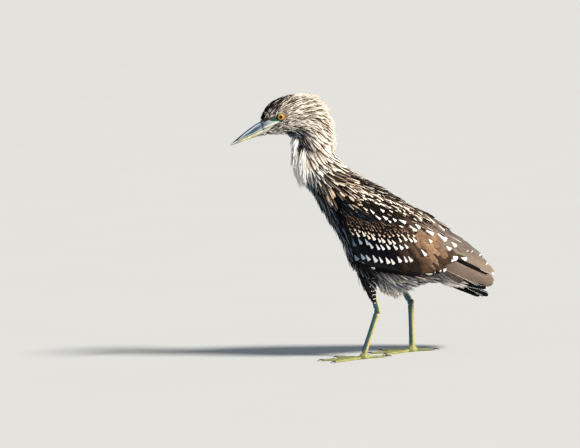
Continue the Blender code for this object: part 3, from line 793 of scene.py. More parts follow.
class Nodes:
    """A short way to write a material's nodes."""

    def __init__(self, name):
        self.material = bpy.data.materials.new(name)
        self.material.use_nodes = True
        self.tree = self.material.node_tree
        self.shader = self.tree.nodes["Principled BSDF"]

    def put(self, socket, value):
        if isinstance(value, Value):
            self.tree.links.new(value.socket, socket)
        else:
            socket.default_value = (*value, 1.0) if socket.type == "RGBA" else value

    def node(self, kind, inputs, output=0, **settings):
        """One output of a new node, or all of them, with what goes into its inputs by name or number."""
        node = self.tree.nodes.new(f"ShaderNode{kind}")
        for name, setting in settings.items():
            setattr(node, name, setting)
        for name, value in inputs.items():
            self.put(node.inputs[name], value)
        if output is None:
            return [Value(self, socket) for socket in node.outputs]
        return Value(self, node.outputs[output])

    def math(self, operation, *values, clamp=False):
        return self.node("Math", dict(enumerate(values)), operation=operation, use_clamp=clamp)

    def ramp(self, value, low, high):
        inputs = {"Value": value, "From Min": low, "From Max": high}
        return self.node("MapRange", inputs, interpolation_type="SMOOTHSTEP")

    def mix(self, factor, first, second, blend="MIX"):
        return self.node("Mix", {0: factor, 6: first, 7: second}, 2, data_type="RGBA", blend_type=blend)

    def shaded(self, colour, shade):
        """The colour times a shade of grey."""
        return self.mix(1.0, colour, self.vector(shade, shade, shade), "MULTIPLY")

    def noise(self, vector, scale, detail=2.0):
        return self.node("TexNoise", {"Vector": vector, "Scale": scale, "Detail": detail}, "Fac")

    def attribute(self, name, output="Vector"):
        return self.node("Attribute", {}, output, attribute_name=name)

    def parts(self, vector):
        return self.node("SeparateXYZ", {0: vector}, None)

    def vector(self, *values):
        return self.node("CombineXYZ", dict(enumerate(values)))

    def place(self):
        return self.node("TexCoord", {}, "Object")

    def bump(self, height, strength, distance=0.0005):
        normal = self.node("Bump", {"Height": height, "Strength": strength, "Distance": distance})
        self.put(self.shader.inputs["Normal"], normal)

    def finish(self, colour, roughness, **others):
        for name, value in {"Base Color": colour, "Roughness": roughness, **others}.items():
            self.put(self.shader.inputs[name.replace("_", " ")], value)
        return self.material


def plumage_material():
    """Each vane's own colours, with its shaft streak, tip spot and rim, painted shade towards its root, and
    its barbs as bump.
    """
    n = Nodes("plumage")
    t, s, chance = n.parts(n.attribute("quill"))
    streak, spot, rim = n.parts(n.attribute("form"))
    share, flare, worn = n.parts(n.attribute("cut"))
    out = n.math("ABSOLUTE", s)
    across = out * share
    ragged = n.noise(n.vector(t * 9.0, s * 2.5, chance * 90.0), 1.0, 3.0)
    shift = (ragged - 0.5) * 0.35
    wide = streak * (n.ramp(t, 0.15, 0.75) * 0.75 + 0.3) + shift * streak
    on_shaft = n.ramp(wide - across, -0.07, 0.07) * n.math("GREATER_THAN", streak, 0.02)
    past = t - (shift * 0.20 + spot)
    open_by = past / (1.02 - spot) * flare + (shift * 0.35 + 0.07)
    on_spot = n.ramp(past, 0.0, 0.05) * n.ramp(open_by - across, -0.05, 0.07)
    on_rim = n.ramp(out - (1.0 - rim), -0.02, 0.08) * n.math("GREATER_THAN", rim, 0.01)
    marked = n.math("MAXIMUM", n.math("MAXIMUM", on_shaft, on_spot), on_rim, clamp=True)
    # worn vanes darken in streaks along the barbs, and along the shaft
    fray = n.noise(n.vector((out * -0.30 + t) * 16.0, s * 1.6, chance * 70.0), 1.0, 4.0)
    fray = n.ramp(fray, 0.44, 0.66) * worn
    shaft = (1.0 - n.ramp(out, 0.02, 0.07)) * worn
    ground = n.shaded(n.attribute("tone", "Color"), 1.0 - n.math("MAXIMUM", fray, shaft) * 0.62)
    colour = n.mix(marked, ground, n.attribute("mark", "Color"))
    slant = n.vector(out * -0.35 + t, 0.0, 0.0)
    barbs = n.node("TexWave", {"Vector": slant, "Scale": 16.0, "Distortion": 1.0}, "Fac")
    n.bump(barbs, 0.35, 0.0003)
    # painted shade: each vane darker towards its root, where the vanes over it shade it; with random tone and
    # the barbs' grain
    shade = (n.ramp(t, 0.0, 0.45) * 0.45 + 0.55) * (ragged * 0.36 + 0.82) * (barbs * 0.14 + 0.93)
    return n.finish(n.shaded(colour, shade), 0.75, Specular_IOR_Level=0.05)


def skin_material():
    n = Nodes("skin")
    grain = n.noise(n.place(), 900.0)
    n.bump(grain, 0.3)
    return n.finish(n.attribute("tone", "Color"), 0.75, Specular_IOR_Level=0.12)


PLUMAGE = plumage_material()

# ---------------------------------------------------------------- wing form

GRID = 0.002
OUTER_EDGE = 0.2  # from here a ray inwards meets the wing
DROP = 0.006


class WingForm:
    """How far out the folded wing's surface is, for each place in side view."""

    def __init__(self):
        self.low = low = np.array([-0.06, 0.07])
        shell = joined(["wing_left", "flight_feathers_left", "trunk"])
        tree = BVHTree.FromBMesh(shell)
        shell.free()
        out = np.full((150, 125), np.nan)
        for i, j in np.ndindex(out.shape):
            start = Vector((low[0] + i * GRID, -OUTER_EDGE, low[1] + j * GRID))
            hit, _, _, _ = tree.ray_cast(start, Vector((0, 1, 0)), OUTER_EDGE)
            if hit is not None:
                out[i, j] = -hit.y
        known = ~np.isnan(out)
        filled = np.where(known, out, 0.0)
        spread = known.astype(float)
        for _ in range(60):  # let the form run on past its edge
            around, total = np.zeros_like(filled), np.zeros_like(spread)
            for axis in (0, 1):
                for way in (-1, 1):
                    around += np.roll(filled * spread, way, axis)
                    total += np.roll(spread, way, axis)
            fresh = (spread == 0) & (total > 0)
            filled[fresh] = around[fresh] / total[fresh] - 0.0008
            spread[fresh] = 1
        for _ in range(4):  # and smooth it
            beside = [np.roll(filled, way, axis) for axis in (0, 1) for way in (1, -1)]
            filled = (filled * 2 + beside[0] + beside[1] + beside[2] + beside[3]) / 6
        self.out = filled
        tops = [np.nonzero(column)[0].max() if column.any() else 0 for column in known]
        self.top = np.array([low[1] + GRID * top for top in tops])

    def held_down(self, x, z):
        """The heights, kept under the body's top edge but lowered by no more than DROP."""
        i = np.clip((x - self.low[0]) / GRID, 0, len(self.top) - 1)
        top = np.interp(i, np.arange(len(self.top)), self.top)
        lowered = np.clip(z, z - DROP, np.maximum(top - 0.002, z - DROP))
        return np.where(top > self.low[1] + 0.01, lowered, z)

    def __call__(self, x, z):
        i = np.clip((x - self.low[0]) / GRID, 0, self.out.shape[0] - 1.001)
        j = np.clip((z - self.low[1]) / GRID, 0, self.out.shape[1] - 1.001)
        a, b = i.astype(int), j.astype(int)
        u, v = i - a, j - b
        f = self.out
        below, above = (f[a, c] * (1 - u) + f[a + 1, c] * u for c in (b, b + 1))
        return below * (1 - v) + above * v


WING = WingForm()
CUP = 0.10  # how far a wing feather's edges bend inwards, as a share of its half width


def bent(line, t):
    """Places along the smooth curve through a few points."""
    line = np.array(line, float) * MM
    run = run_of(line)
    run /= run[-1]
    total = np.zeros((len(t), 2))
    for i, point in enumerate(line):
        weight = np.ones(len(t))
        for j in range(len(line)):
            if j != i:
                weight *= (t - run[j]) / (run[i] - run[j])
        total += weight[:, None] * point
    return total


def lay(coats, line, half, sink, tone, mark, form, point, steps=12, flare=0.45, worn=0.0):
    """A wing feather on each side: its shaft's line in side view (mm), sunk below the wing's surface (mm)."""
    t = ring_places(steps, 1.0)
    shaft = bent(line, t)
    way = unit(np.gradient(shaft, axis=0))
    up = np.column_stack([-way[:, 1], way[:, 0]])
    share = width_profile(t, point, 1.0)
    width = half * MM * share
    depth = (sink[0] + (sink[1] - sink[0]) * t) * MM
    lines = []
    for offset in (-1, -0.5, 0, 0.5, 1):
        flat = shaft + up * (width * offset)[:, None]
        x, z = flat.T
        out = WING(x, z)
        for _ in range(2):
            out = WING(x, z + LOOK_DOWN * out)
        place = np.maximum(out - depth - offset**2 * CUP * width, 0.0004)
        lines.append(np.column_stack([x, -place, WING.held_down(x, z + LOOK_DOWN * out)]))
    bright = between(0.88, 1.12)
    for side, sign in SIDES.items():
        ends = [line * [1, -sign, 1] for line in lines]
        normals = unit(np.cross(np.gradient(ends[2], axis=0), ends[4] - ends[0]), 1e-12)
        normals *= np.sign(normals[:, 1] * sign + 1e-9)[:, None]
        tones = np.array(tone) * bright, np.array(mark)
        coats[side].add(ends, normals * WING_THICK, *tones, form, (share, flare, worn))


def hang(coat, root, way, flat, length, half, tone, mark, form, point, steps, blunt=1.0, droop=0.0):
    """A feather that hangs clear: from its root, the way it points and the way its flat side faces."""
    t = ring_places(steps, blunt)
    share = width_profile(t, point, blunt)
    way, flat = Vector(way).normalized(), Vector(flat)
    flat = (flat - way * flat.dot(way)).normalized()
    side = way.cross(flat)
    centre = [Vector(root) + way * (length * k) - Vector((0, 0, droop * length * k * k)) for k in t]
    widths = half * share
    lefts = [c - side * w - flat * (w * 0.3) for c, w in zip(centre, widths)]
    rights = [c + side * w - flat * (w * 0.3) for c, w in zip(centre, widths)]
    bright = between(0.85, 1.10)
    coat.add([lefts, centre, rights], np.array(flat) * HANG_THICK, np.array(tone) * bright, np.array(mark),
             form, (share, SPOT_FLARE, 0.0))


def along_line(points, gap):
    """Places each gap along a bent line in side view."""
    points = np.array(points, float)
    run = run_of(points)
    at = np.arange(0, run[-1], gap)
    return np.column_stack([np.interp(at, run, points[:, 0]), np.interp(at, run, points[:, 1])])


# the ruff's front edge: heights, and the furthest forward that a tip may be at each
RUFF_HEIGHTS = np.array([309, 316, 326, 341, 352, 365, 378, 390]) * MM
RUFF_FRONTS = np.array([-100, -105, -108, -110, -113, -120, -117, -110]) * MM


def either(first, second, chance):
    """The first, by that chance, or else the second."""
    return first if RANDOM.random() < chance else second


def shaken(value, spread):
    return value + off(spread) if spread else value


def met(x, y, level, way, shake, tree=None):
    """Where a ray up (1) or down (-1) from a place, shaken a little (mm), meets the skin, and its normal."""
    start = Vector((shaken(x, shake[0]) * MM, shaken(y, shake[1]) * MM, level))
    return (tree or SKIN).ray_cast(start, Vector((0, 0, way)))[:2]


def add_throat_shade(coat):
    """Near-black feathers behind the chin: painted shade, where the throat lies under the cheek."""
    for x in np.arange(-125, -109, 1.6):
        for out in range(-10, 11, 2):
            place, _ = met(x, out, 0.36, 1, (0.8, 0))
            if place is None or not 0.385 < place.z < 0.41:
                continue
            way = (0.60 + off(0.08), 0.02 * out, -0.80)
            hang(coat, place + Vector((0, 0, 0.002)), way, (-0.8, 0.05 * out, -0.5), between(0.010, 0.015),
                 between(0.0012, 0.0018), INK, SHADE_GREY, (0.14, 1.0, 0.0), point=0.5, blunt=0.3, steps=6)


def add_ruff(coat):
    """The white plumes that hang from the throat's front and sides: bundles of fine vanes from one root."""
    high, low = 0.389, 0.334
    starts = [(level, out, None) for level in np.linspace(high, low, 14) for out in np.linspace(-12, 12, 9)]
    starts += [(level, side, x) for level in np.linspace(0.372, 0.342, 9) for x in (-105, -101, -97, -93)
               for side in (-1, 1)]
    for level, out, x in starts:
        height = level + off(0.0015)
        if 0.373 < height < 0.379:  # a dark gap under the highest plumes
            continue
        height += off(0.002)
        if x is None:
            start, aim = Vector((-0.3, (out + off(0.7)) * MM, height)), Vector((1, 0, 0))
        else:
            start, aim = Vector(((x + off(1.5)) * MM, out * 0.2, height)), Vector((0, -out, 0))
        place, _, _, _ = SKIN.ray_cast(start, aim)
        if place is None or (x is None and place.x < -0.122):
            continue
        up = (level - low) / (high - low)
        base_angle = (-95 if x is None else -88) - 22 * up + off(5)
        outwards = 1.0 if out >= 0 else -1.0
        edge = RANDOM.normal(-0.0012, 0.0026)
        full = between(0.016, 0.020) if height > 0.376 else between(0.023, 0.031)
        for _ in range(6):
            angle = radians(base_angle + off(4))
            long = full * between(0.80, 1.05)
            for _ in range(10):  # no tip in front of the ruff's edge
                front = np.interp(place.z + sin(angle) * long, RUFF_HEIGHTS, RUFF_FRONTS) + edge
                if place.x + cos(angle) * long > front:
                    break
                angle += radians(4)
            way = (cos(angle), 0.10 * outwards * min(abs(out) / 8, 1) + off(0.06), sin(angle))
            flat = (RANDOM.normal(0.40, 0.25), outwards, RANDOM.normal(0.35, 0.2))
            root = place - aim * between(0.0015, 0.0045)
            hang(coat, root, way, flat, long, between(0.0006, 0.0012), PALE, WHITE,
                 (0.9, 1.0, 0.0), droop=between(0.02, 0.12), point=0.45, blunt=0.25, steps=5)


def add_undertail(coat):
    """The long pale down under the tail's root, over the roots of the tail's outer feathers."""

    def tuft(root, way, flat, length, half):
        hang(coat, root, way, flat, between(*length), between(*half), either(SHADE_GREY, MOUSE, 0.6), PALE,
             (0.16, 1.0, 0.0), point=0.45, blunt=0.3, steps=6)

    for x in np.arange(116, 152, 3.0):
        for out in (-17, -14, -10, -5, 0, 5, 10, 14, 17):
            root, _ = met(x, out, 0.0, 1, (1.0, 0.6))
            if root is not None and root.z <= 0.15:
                way = (1.0, off(0.05), -0.36 + off(0.07))
                flat = (0.1, out * 0.12, -0.5)
                tuft(root + Vector((0, 0, 0.001)), way, flat, (0.020, 0.027), (0.0014, 0.0021))
    for sign in SIDES.values():
        for x in np.arange(128, 158, 1.8):
            for level in (9, 5, 1.5):
                under = np.interp(x, (118, 133, 162), (127, 120, 115))
                root = Vector((x + off(1), 17.2 * sign, under + level + off(0.7))) * MM
                way = (1.0, 0.06 * sign, -0.30 + off(0.08))
                tuft(root, way, (0.1, sign, -0.2), (0.016, 0.024), (0.0012, 0.0019))


def add_chin_fringe(coat):
    """The chin's down, which runs forward under the lower bill."""
    shape = joined(["bill_lower"])
    horn = BVHTree.FromBMesh(shape)
    shape.free()
    for x in np.arange(-175, -163, 1.1):
        wide = 1.5 + 0.35 * (x + 175)
        for out in np.arange(-wide, wide + 0.1, 1.0):
            root, normal = met(x, out, 0.3, 1, (0.3, 0), horn)
            if root is None:
                continue
            way = (1.0, 0.04 * out, -0.05 + off(0.05))
            tone, streak = either((DOWN, 0.9), (UMBER, 0.0), 0.6)
            flat = normal + Vector((0, 0.2 * out, 0))
            hang(coat, root - normal * 0.0002, way, flat, between(0.0060, 0.0085), between(0.0006, 0.0010),
                 tone, WHITE, (streak, 1.0, 0.0), point=0.4, blunt=0.3, steps=5)


def add_thigh_bars(coat):
    """Rows of cream-tipped feathers round each thigh's rear half."""
    for side, sign in SIDES.items():
        thigh = read(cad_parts[f"thigh_{side}"].data.vertices)
        foot = THIGHS[side][0].z
        for level in np.arange(foot + 0.0080, foot + 0.052, 0.0072):
            ring = thigh[np.abs(thigh[:, 2] - level) < 0.005]
            centre = Vector((*((ring[:, :2].min(0) + ring[:, :2].max(0)) / 2), level))
            for angle in np.radians(np.arange(-30, 86, 13)):
                out = Vector((cos(angle), sin(angle) * sign, 0.0))
                root, _, _, _ = SKIN.ray_cast(centre + out * 0.03, -out)
                if root is None:
                    continue
                way = Vector((-0.06 if side == "left" else -0.30, 0, -1)) + out * 0.10
                hang(coat, root + out * 0.0016, way, out, between(0.0095, 0.0105), between(0.0018, 0.0022),
                     SOOT, CREAM, (0.0, 0.74, 0.0), point=0.74, steps=7)


def add_rump_cover(coat):
    """Feathers down the middle of the rump, between the folded wings."""
    for x, _ in along_line([(140, 222), (168, 196), (186, 177)], 8):
        for out in (-6, -3, 0, 3, 6):
            root, normal = met(x, out, 0.4, -1, (1.2, 0.8))
            if root is None or root.z < 0.142 or normal.z < 0.5:
                continue
            way = Vector((0.70, 0.02 * out, -0.71)) + normal * 0.02
            hang(coat, root - normal * 0.001, way, normal, 0.030, 0.0048, MOUSE, WHITE, (0.0, 0.97, 0.0),
                 point=0.66, steps=8)


def add_saddle(coat):
    """Feathers across the back where the mantle ends, between the folded wings."""
    for x, z in along_line([(88, 259), (112, 240), (136, 224)], 8):
        for out in range(-20, 21, 4):
            root, _ = met(x, out, 0.4, -1, (1.5, 0.8))
            if root is None:
                continue
            root.z = max(root.z - 0.001, (z - 10 - 0.02 * out**2) * MM)  # over the groove between the wings
            hang(coat, root, (0.80, 0.004 * out, -0.62), (0.60, 0.02 * out, 0.80), between(0.022, 0.028),
                 between(0.0032, 0.0042), either(UMBER, BROWN, 0.5), CREAM, (between(0.0, 0.22), 1.0, 0.0),
                 point=0.66, steps=8)


NAPE_LINE = [(-112, 468), (-96, 467), (-82, 461), (-70, 450), (-60, 434), (-53, 416), (-50, 396), (-48, 378)]


def add_crest(coat):
    """Loose pale tips that stand out round the back of the head and down the nape."""
    for x, z in along_line(NAPE_LINE, 2.6):
        for out in (-13, -9, -5, -1.5, 1.5, 5, 9, 13):
            place = Vector((shaken(x, 1.5) * MM, out * MM, shaken(z, 1.5) * MM))
            root = SKIN.find_nearest(place)[0]
            lie = Vector(plumage_at(np.array(root))[1][0])
            outwards = (root - Vector((-0.095, 0, 0.425)) if z > 425 else Vector((1, 0, 0.3))).normalized()
            loose = between(0.26, 0.54) * float(smoothstep(-112, -78, x)) + 0.03
            way = lie + outwards * loose + Vector((0, RANDOM.normal(0.012 * out, 0.05), 0))
            hang(coat, root, way, outwards + Vector((0, 0.08 * out, 0)), between(0.013, 0.021),
                 between(0.0009, 0.0014), FAWN, PALE, (0.75, 1.0, 0.0), point=0.45, blunt=0.2, steps=6)


def add_bill_fringe(coat):
    """The short dark feathers that run forward over the bill's root, above."""
    for x in np.arange(-168, -160, 0.9):
        for out in (-5.2, -4.2, -3.2, -2.2, -1.1, 0, 1.1, 2.2, 3.2, 4.2, 5.2):
            root, normal = met(x + 0.35 * abs(out), out, 0.5, -1, (0.3, 0.2))
            if root is None:
                continue
            way = Vector((-0.75, 0.03 * out, -0.75)) + normal * 0.25
            hang(coat, root, way, normal, between(0.0035, 0.0055), between(0.0004, 0.0007), INK, INK,
                 (0.0, 1.0, 0.0), point=0.4, blunt=0.2, steps=5)


def add_vent_tufts(coat):
    """The loose down that hangs behind the thighs."""
    for x in np.arange(22, 53, 3.2):
        for out in (-17, -11, -5, 0, 5, 11, 17):
            place, _ = met(x, out, 0.0, 1, (1.2, 1))
            if place is None or place.z > 0.16:
                continue
            way = (0.30 + off(0.10), off(0.08), -1.0)
            flat = (off(0.4), 1.0 if out >= 0 else -1.0, 0.2)
            place.z += 0.004
            hang(coat, place, way, flat, between(0.016, 0.024), between(0.0016, 0.0024),
                 either(SHADE_GREY, DOWN, 0.7), PALE, (0.30, 1.0, 0.0), point=0.4, blunt=0.3, steps=6)


# ---------------------------------------------------------------- skin and small feathers

skin = make_skin()
skin.data.materials.append(skin_material())
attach(skin, "root")
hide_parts(*FLESH)
SKIN = tree_of(skin.data)
COAT_FOOT = 0.012  # how far above a node's foot its coat starts
HEAD_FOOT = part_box("head")[0].z + COAT_FOOT
NECK_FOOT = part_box("neck")[0].z + COAT_FOOT

for name, low, high, slot, tufts in (
    ("coat_head", HEAD_FOOT, 1.0, "plumage_streaked",
     (add_crest, add_bill_fringe, add_throat_shade, add_chin_fringe)),
    ("coat_neck", NECK_FOOT, HEAD_FOOT, "plumage_pale", (add_ruff,)),
    ("coat_body", 0.0, NECK_FOOT, "plumage_streaked",
     (add_vent_tufts, add_undertail, add_thigh_bars, add_saddle, add_rump_cover)),
):
    coat = Coat()
    grow(coat, scattered(skin.data, lambda at: (at[:, 2] >= low) & (at[:, 2] < high) & ~bare(at)))
    for add in tufts:
        add(coat)
    coat.build(name, PLUMAGE, slot)

# ---------------------------------------------------------------- wings

coverts = {side: Coat(WIDE_PATCH) for side in SIDES}
flights = {side: Coat(WIDE_PATCH) for side in SIDES}


def turned(tip, angle, length):
    """A straight shaft's line from its tip, its angle in side view and its length."""
    tip = np.array(tip, float)
    return [tip - length * np.array([cos(radians(angle)), sin(radians(angle))]), tip]


def row_of(tips, gap, front, rear):
    """The tips along a row of feathers, how far along each is (0 to 1), and its angle."""
    places = along_line(tips, gap)
    for i, tip in enumerate(places):
        u = i / (len(places) - 1)
        yield tip, u, front + (rear - front) * u


# the dark feathers along the wing's lower edge, near black towards the front: painted shade
WING_EDGE = [(-12, 164), (11, 155), (51, 146), (85, 138), (131, 139)]
for tip, u, angle in row_of(WING_EDGE, 10.5, -24, -40):
    shaft = turned(tip, angle, min(58, 12 + 52 * u))
    tone = INK if u < 0.6 else SOOT
    lay(flights, shaft, 7.5, (2.6, 1.5 + 0.4 * u), tone, WHITE, (0.0, 1.0, 0.0), point=0.80)

# the long wing feathers, from the lowest layer to the highest: shaft, half width, sink at root and tip,
# ground, where the white tip starts, pale rim, wear
for line, half, sink, tone, spot, rim, worn in (
    ([(112, 166), (140, 141), (168, 122)], 8.0, (5.0, 3.6), (0.110, 0.085, 0.072), 1.0, 0.08, 0.8),
    ([(118, 176), (160, 146), (204, 117)], 8.5, (4.6, 3.0), SOOT, 1.0, 0.0, 0.3),
    ([(120, 172), (162, 143), (211, 114)], 10.0, (4.0, 2.4), INK, 1.0, 0.10, 0.0),
    ([(112, 178), (148, 154), (182, 135), (222.5, 116.5)],
     13.0, (3.4, 1.4), (0.250, 0.178, 0.138), 0.955, 0.06, 0.25),
    ([(124, 186), (160, 165), (214, 134)], 10.5, (3.2, 1.8), SOOT, 1.0, 0.0, 0.0),
    ([(128, 198), (158, 175), (190, 158), (223, 136)],
     10.0, (2.6, 0.5), (0.270, 0.200, 0.155), 0.93, 0.06, 0.3),
    ([(134, 205), (166, 180), (213, 150)], 8.0, (2.2, 0.6), (0.245, 0.195, 0.160), 0.92, 0.0, 0.5),
    ([(136, 212), (168, 188), (203, 167)], 8.0, (2.0, 0.4), (0.215, 0.170, 0.140), 0.91, 0.0, 0.6),
    ([(128, 220), (158, 197), (188, 173)], 7.0, (1.7, 0.2), (0.200, 0.155, 0.125), 0.93, 0.0, 0.6),
    ([(122, 222), (150, 199), (180, 174.5)], 7.0, (1.5, 0.0), (0.230, 0.175, 0.145), 0.93, 0.0, 0.6),
):
    lay(flights, line, half, sink, tone, WHITE, (0.0, spot, rim), point=0.80, steps=18, flare=1.2, worn=worn)

# the plain, worn feathers behind the spotted coverts: brown, warmer and paler towards the rear and the top;
# the line their tips lie on, the angle at its front and rear, length, half width
for tips, (front, rear), length, half in (
    ([(74, 146), (92, 141), (112, 142), (132, 149)], (-62, -50), 34, 5.4),
    ([(76, 157), (96, 154), (118, 156), (138, 163)], (-62, -50), 32, 5.2),
    ([(80, 169), (98, 168), (122, 170), (144, 173)], (-60, -48), 30, 5.0),
    ([(88, 183), (108, 184), (130, 184), (147, 182)], (-58, -46), 30, 5.0),
    ([(94, 196), (112, 198), (130, 196), (144, 192)], (-56, -44), 28, 4.8),
    ([(98, 208), (116, 209), (134, 203)], (-52, -42), 28, 4.8),
):
    for tip, _, angle in row_of(tips, 8.2, front, rear):
        warm = float(np.clip((tip[0] - 84) / 34 + (tip[1] - 172) / 60, 0, 1))
        tone = np.array(UMBER) * 1.6 * (1 - warm) + np.array(TAN) * warm * between(0.65, 1.05)
        shaft = turned(tip + off(1.2, 2), angle + off(4), length * between(0.9, 1.1))
        wide = half * between(0.85, 1.1)
        lay(coverts, shaft, wide, (2.9, 0.9), tone, TAN, (0.0, 1.0, 0.0), point=0.66, worn=0.9)

# rows of coverts: the line their tips lie on, the angle at its front and rear, length, half width, gap,
# sink at root and tip, ground, mark, where the spot starts, shaft streak
for tips, (front, rear), length, half, gap, sink, ground, mark, spot, streak in (
    ([(-13, 170.5), (0, 171.5), (8, 168), (19, 164), (31, 161.5), (64, 160), (88, 162)],
     (-66, -62), 36, 6.6, 10.8, (2.2, 0.5), INK, WHITE, 0.53, 0.0),
    ([(-16, 195), (2, 196.5), (10, 192), (21, 187.5), (33, 185), (56, 184), (68, 185.5), (84, 183)],
     (-66, -58), 33, 5.6, 10.4, (1.9, 0.3), INK, WHITE, 0.52, 0.0),
    ([(-18, 214), (7, 208), (25, 200), (35, 196), (55, 195), (67, 198), (92, 196)],
     (-64, -56), 28, 4.8, 9.4, (1.7, 0.1), INK, PALE, 0.50, 0.0),
    ([(-22, 224), (-8, 220), (16, 212), (40, 207), (62, 208), (90, 205)],
     (-62, -54), 22, 3.8, 8.6, (2.2, 0.4), SOOT, BUFF, 0.64, 0.0),
    ([(-24, 232), (-10, 228), (16, 220), (42, 214), (70, 214), (88, 212)],
     (-60, -52), 18, 3.2, 6.2, (2.0, 0.2), SOOT, (0.36, 0.25, 0.17), 0.72, 0.08),
    ([(-27, 239), (-10, 234), (16, 227), (44, 220), (78, 219)],
     (-58, -50), 15, 2.8, 5.4, (1.8, 0.0), SOOT, (0.25, 0.17, 0.115), 0.74, 0.10),
    ([(-28, 245), (-10, 240), (16, 233), (40, 227), (62, 225)],
     (-54, -44), 12, 2.3, 4.6, (1.6, -0.1), SOOT, (0.20, 0.135, 0.09), 0.74, 0.10),
    ([(-14, 282), (8, 275), (34, 264), (60, 253), (84, 240)],
     (-38, -36), 24, 3.0, 5.4, (1.6, -0.2), UMBER, CREAM, 1.0, 0.30),
    ([(-10, 291), (14, 283), (42, 271), (68, 259), (92, 243)],
     (-36, -38), 24, 2.8, 5.2, (1.4, -0.5), UMBER, CREAM, 1.0, 0.34),
    # the last two rows, under the scapulars' edge: plain near-black vanes with faint blue streaks, a painted
    # shadow cast by the scapulars
    ([(-36, 258), (-20, 252), (0, 246), (22, 238), (44, 232)],
     (-46, -36), 20, 4.4, 7.0, (2.0, 0.6), INK, SHADE_TEAL, 1.0, 0.05),
    ([(-34, 268), (-20, 262), (-4, 256), (14, 248)],
     (-46, -36), 20, 4.4, 7.0, (1.8, 0.4), INK, SHADE_TEAL, 1.0, 0.05),
):
    for tip, u, angle in row_of(tips, gap, front, rear):
        angle += off(3)
        # painted shade: each row's ground near black at the front, turning brown towards the rear, and its
        # white spots turning dark blue towards the front
        tone = np.array(ground) + (np.array(BROWN) * 0.8 - np.array(ground)) * smoothstep(0.72, 1.0, u)
        shaft = turned(tip + off(0.9, 2), angle, length * between(0.94, 1.06))
        start = spot if spot == 1.0 else spot + off(0.035)
        painted_shade = 0.9 * float(smoothstep(38, -14, tip[0])) if mark is WHITE else 0.0
        mark_here = np.array(mark) * (1 - painted_shade) + np.array(SHADE_WHITE) * painted_shade
        lay(coverts, shaft, half * between(0.90, 1.10), sink, tone, mark_here * between(0.85, 1.0),
            (streak * between(0.0, 1.6), start, 0.0), point=0.62, flare=between(0.42, 0.66), worn=0.4)

# scapulars and tertials with their long white tips, and the streaked ones above them: tip, angle, length,
# half width, ground, where the mark starts, how it flares
for tip, angle, length, half, tone, spot, flare in (
    ((8, 256), -42, 36, 5.0, UMBER, 0.62, 0.30), ((19.5, 250), -50, 38, 5.5, UMBER, 0.60, 0.34),
    ((30, 239.5), -41, 40, 5.5, UMBER, 0.58, 0.34), ((37, 252), -41, 36, 5.5, UMBER, 0.64, 0.48),
    ((42, 238.5), -40, 38, 5.5, UMBER, 0.60, 0.50), ((48, 233), -38, 36, 5.0, UMBER, 0.72, 0.40),
    ((52, 250.5), -33, 34, 4.5, UMBER, 0.66, 0.26), ((57, 234.5), -45, 36, 5.5, UMBER, 0.66, 0.46),
    ((74, 230.5), -28, 40, 6.0, UMBER, 0.54, 0.56), ((68, 223.5), -26, 34, 5.0, UMBER, 0.66, 0.30),
    ((91.5, 214.5), -43, 42, 6.5, BROWN, 0.48, 0.46), ((98.5, 219.5), -43, 40, 6.5, BROWN, 0.58, 0.52),
    ((102.5, 232.5), -47, 40, 5.5, BROWN, 0.56, 0.30), ((88.5, 243), -30, 36, 5.0, UMBER, 0.62, 0.22),
    ((93.5, 234), -33, 34, 5.0, UMBER, 0.68, 0.20), ((121.5, 207.5), -31, 44, 7.0, NUT, 0.50, 0.50),
    ((117, 193.5), -52, 36, 6.0, TAN, 0.66, 0.50), ((143.5, 195.5), -40, 46, 7.0, MOUSE, 0.44, 0.62),
    ((150, 178.5), -40, 40, 7.0, MOUSE, 0.62, 0.55), ((160, 183.5), -46, 42, 7.0, MOUSE, 0.60, 0.52),
    ((106, 171), -54, 38, 6.5, BROWN, 0.50, 0.48), ((74, 250), -48, 28, 4.0, UMBER, 0.66, 0.26),
    ((51, 270), -20, 34, 3.6, BROWN, 0.50, 0.26), ((70, 259), -34, 36, 4.2, BROWN, 0.44, 0.24),
    ((32, 270.5), -36, 30, 3.6, BROWN, 0.52, 0.30), ((63, 256.5), -28, 34, 3.8, UMBER, 0.46, 0.24),
    ((5.5, 281), -34, 26, 3.4, BROWN, 0.60, 0.34), ((15, 275), -26, 26, 3.4, UMBER, 0.64, 0.34),
    ((3, 274.5), -18, 28, 3.4, UMBER, 0.46, 0.24), ((27, 281), -21, 32, 3.4, BROWN, 0.40, 0.28),
    ((125, 227), -46, 44, 5.0, NUT, 0.42, 0.22), ((141.5, 213), -44, 44, 6.0, MOUSE, 0.55, 0.20),
    ((104, 244), -40, 36, 4.4, BROWN, 0.62, 0.24), ((-4, 266), -40, 28, 3.8, UMBER, 0.68, 0.24),
    ((142, 165), -48, 34, 6.5, TAN, 1.0, 0.30), ((135, 157), -50, 32, 6.0, BROWN, 1.0, 0.30),
    ((103, 205), -50, 30, 5.0, TAN, 1.0, 0.30), ((148, 156.5), -48, 30, 6.0, BROWN, 1.0, 0.30),
    ((141, 153), -48, 30, 6.5, BROWN, 1.0, 0.30),
):
    x, z = tip
    sink = 0.2 if x > 88 else -1.4
    # painted shade: the low front scapulars (x under 64, z under 262) at half their ground, darker beside the
    # shadow under them; nut and tan ones are toned to 0.55 for their own colour
    ground = np.array(tone) * (0.55 if tone in (NUT, TAN) else 0.5 if x < 64 and z < 262 else 1.0)
    lay(coverts, turned(tip, angle, length), half, (2.4, sink), ground, WHITE if flare > 0.31 else CREAM,
        (0.0, spot, 0.0), point=0.72, steps=14, flare=flare, worn=0.5)

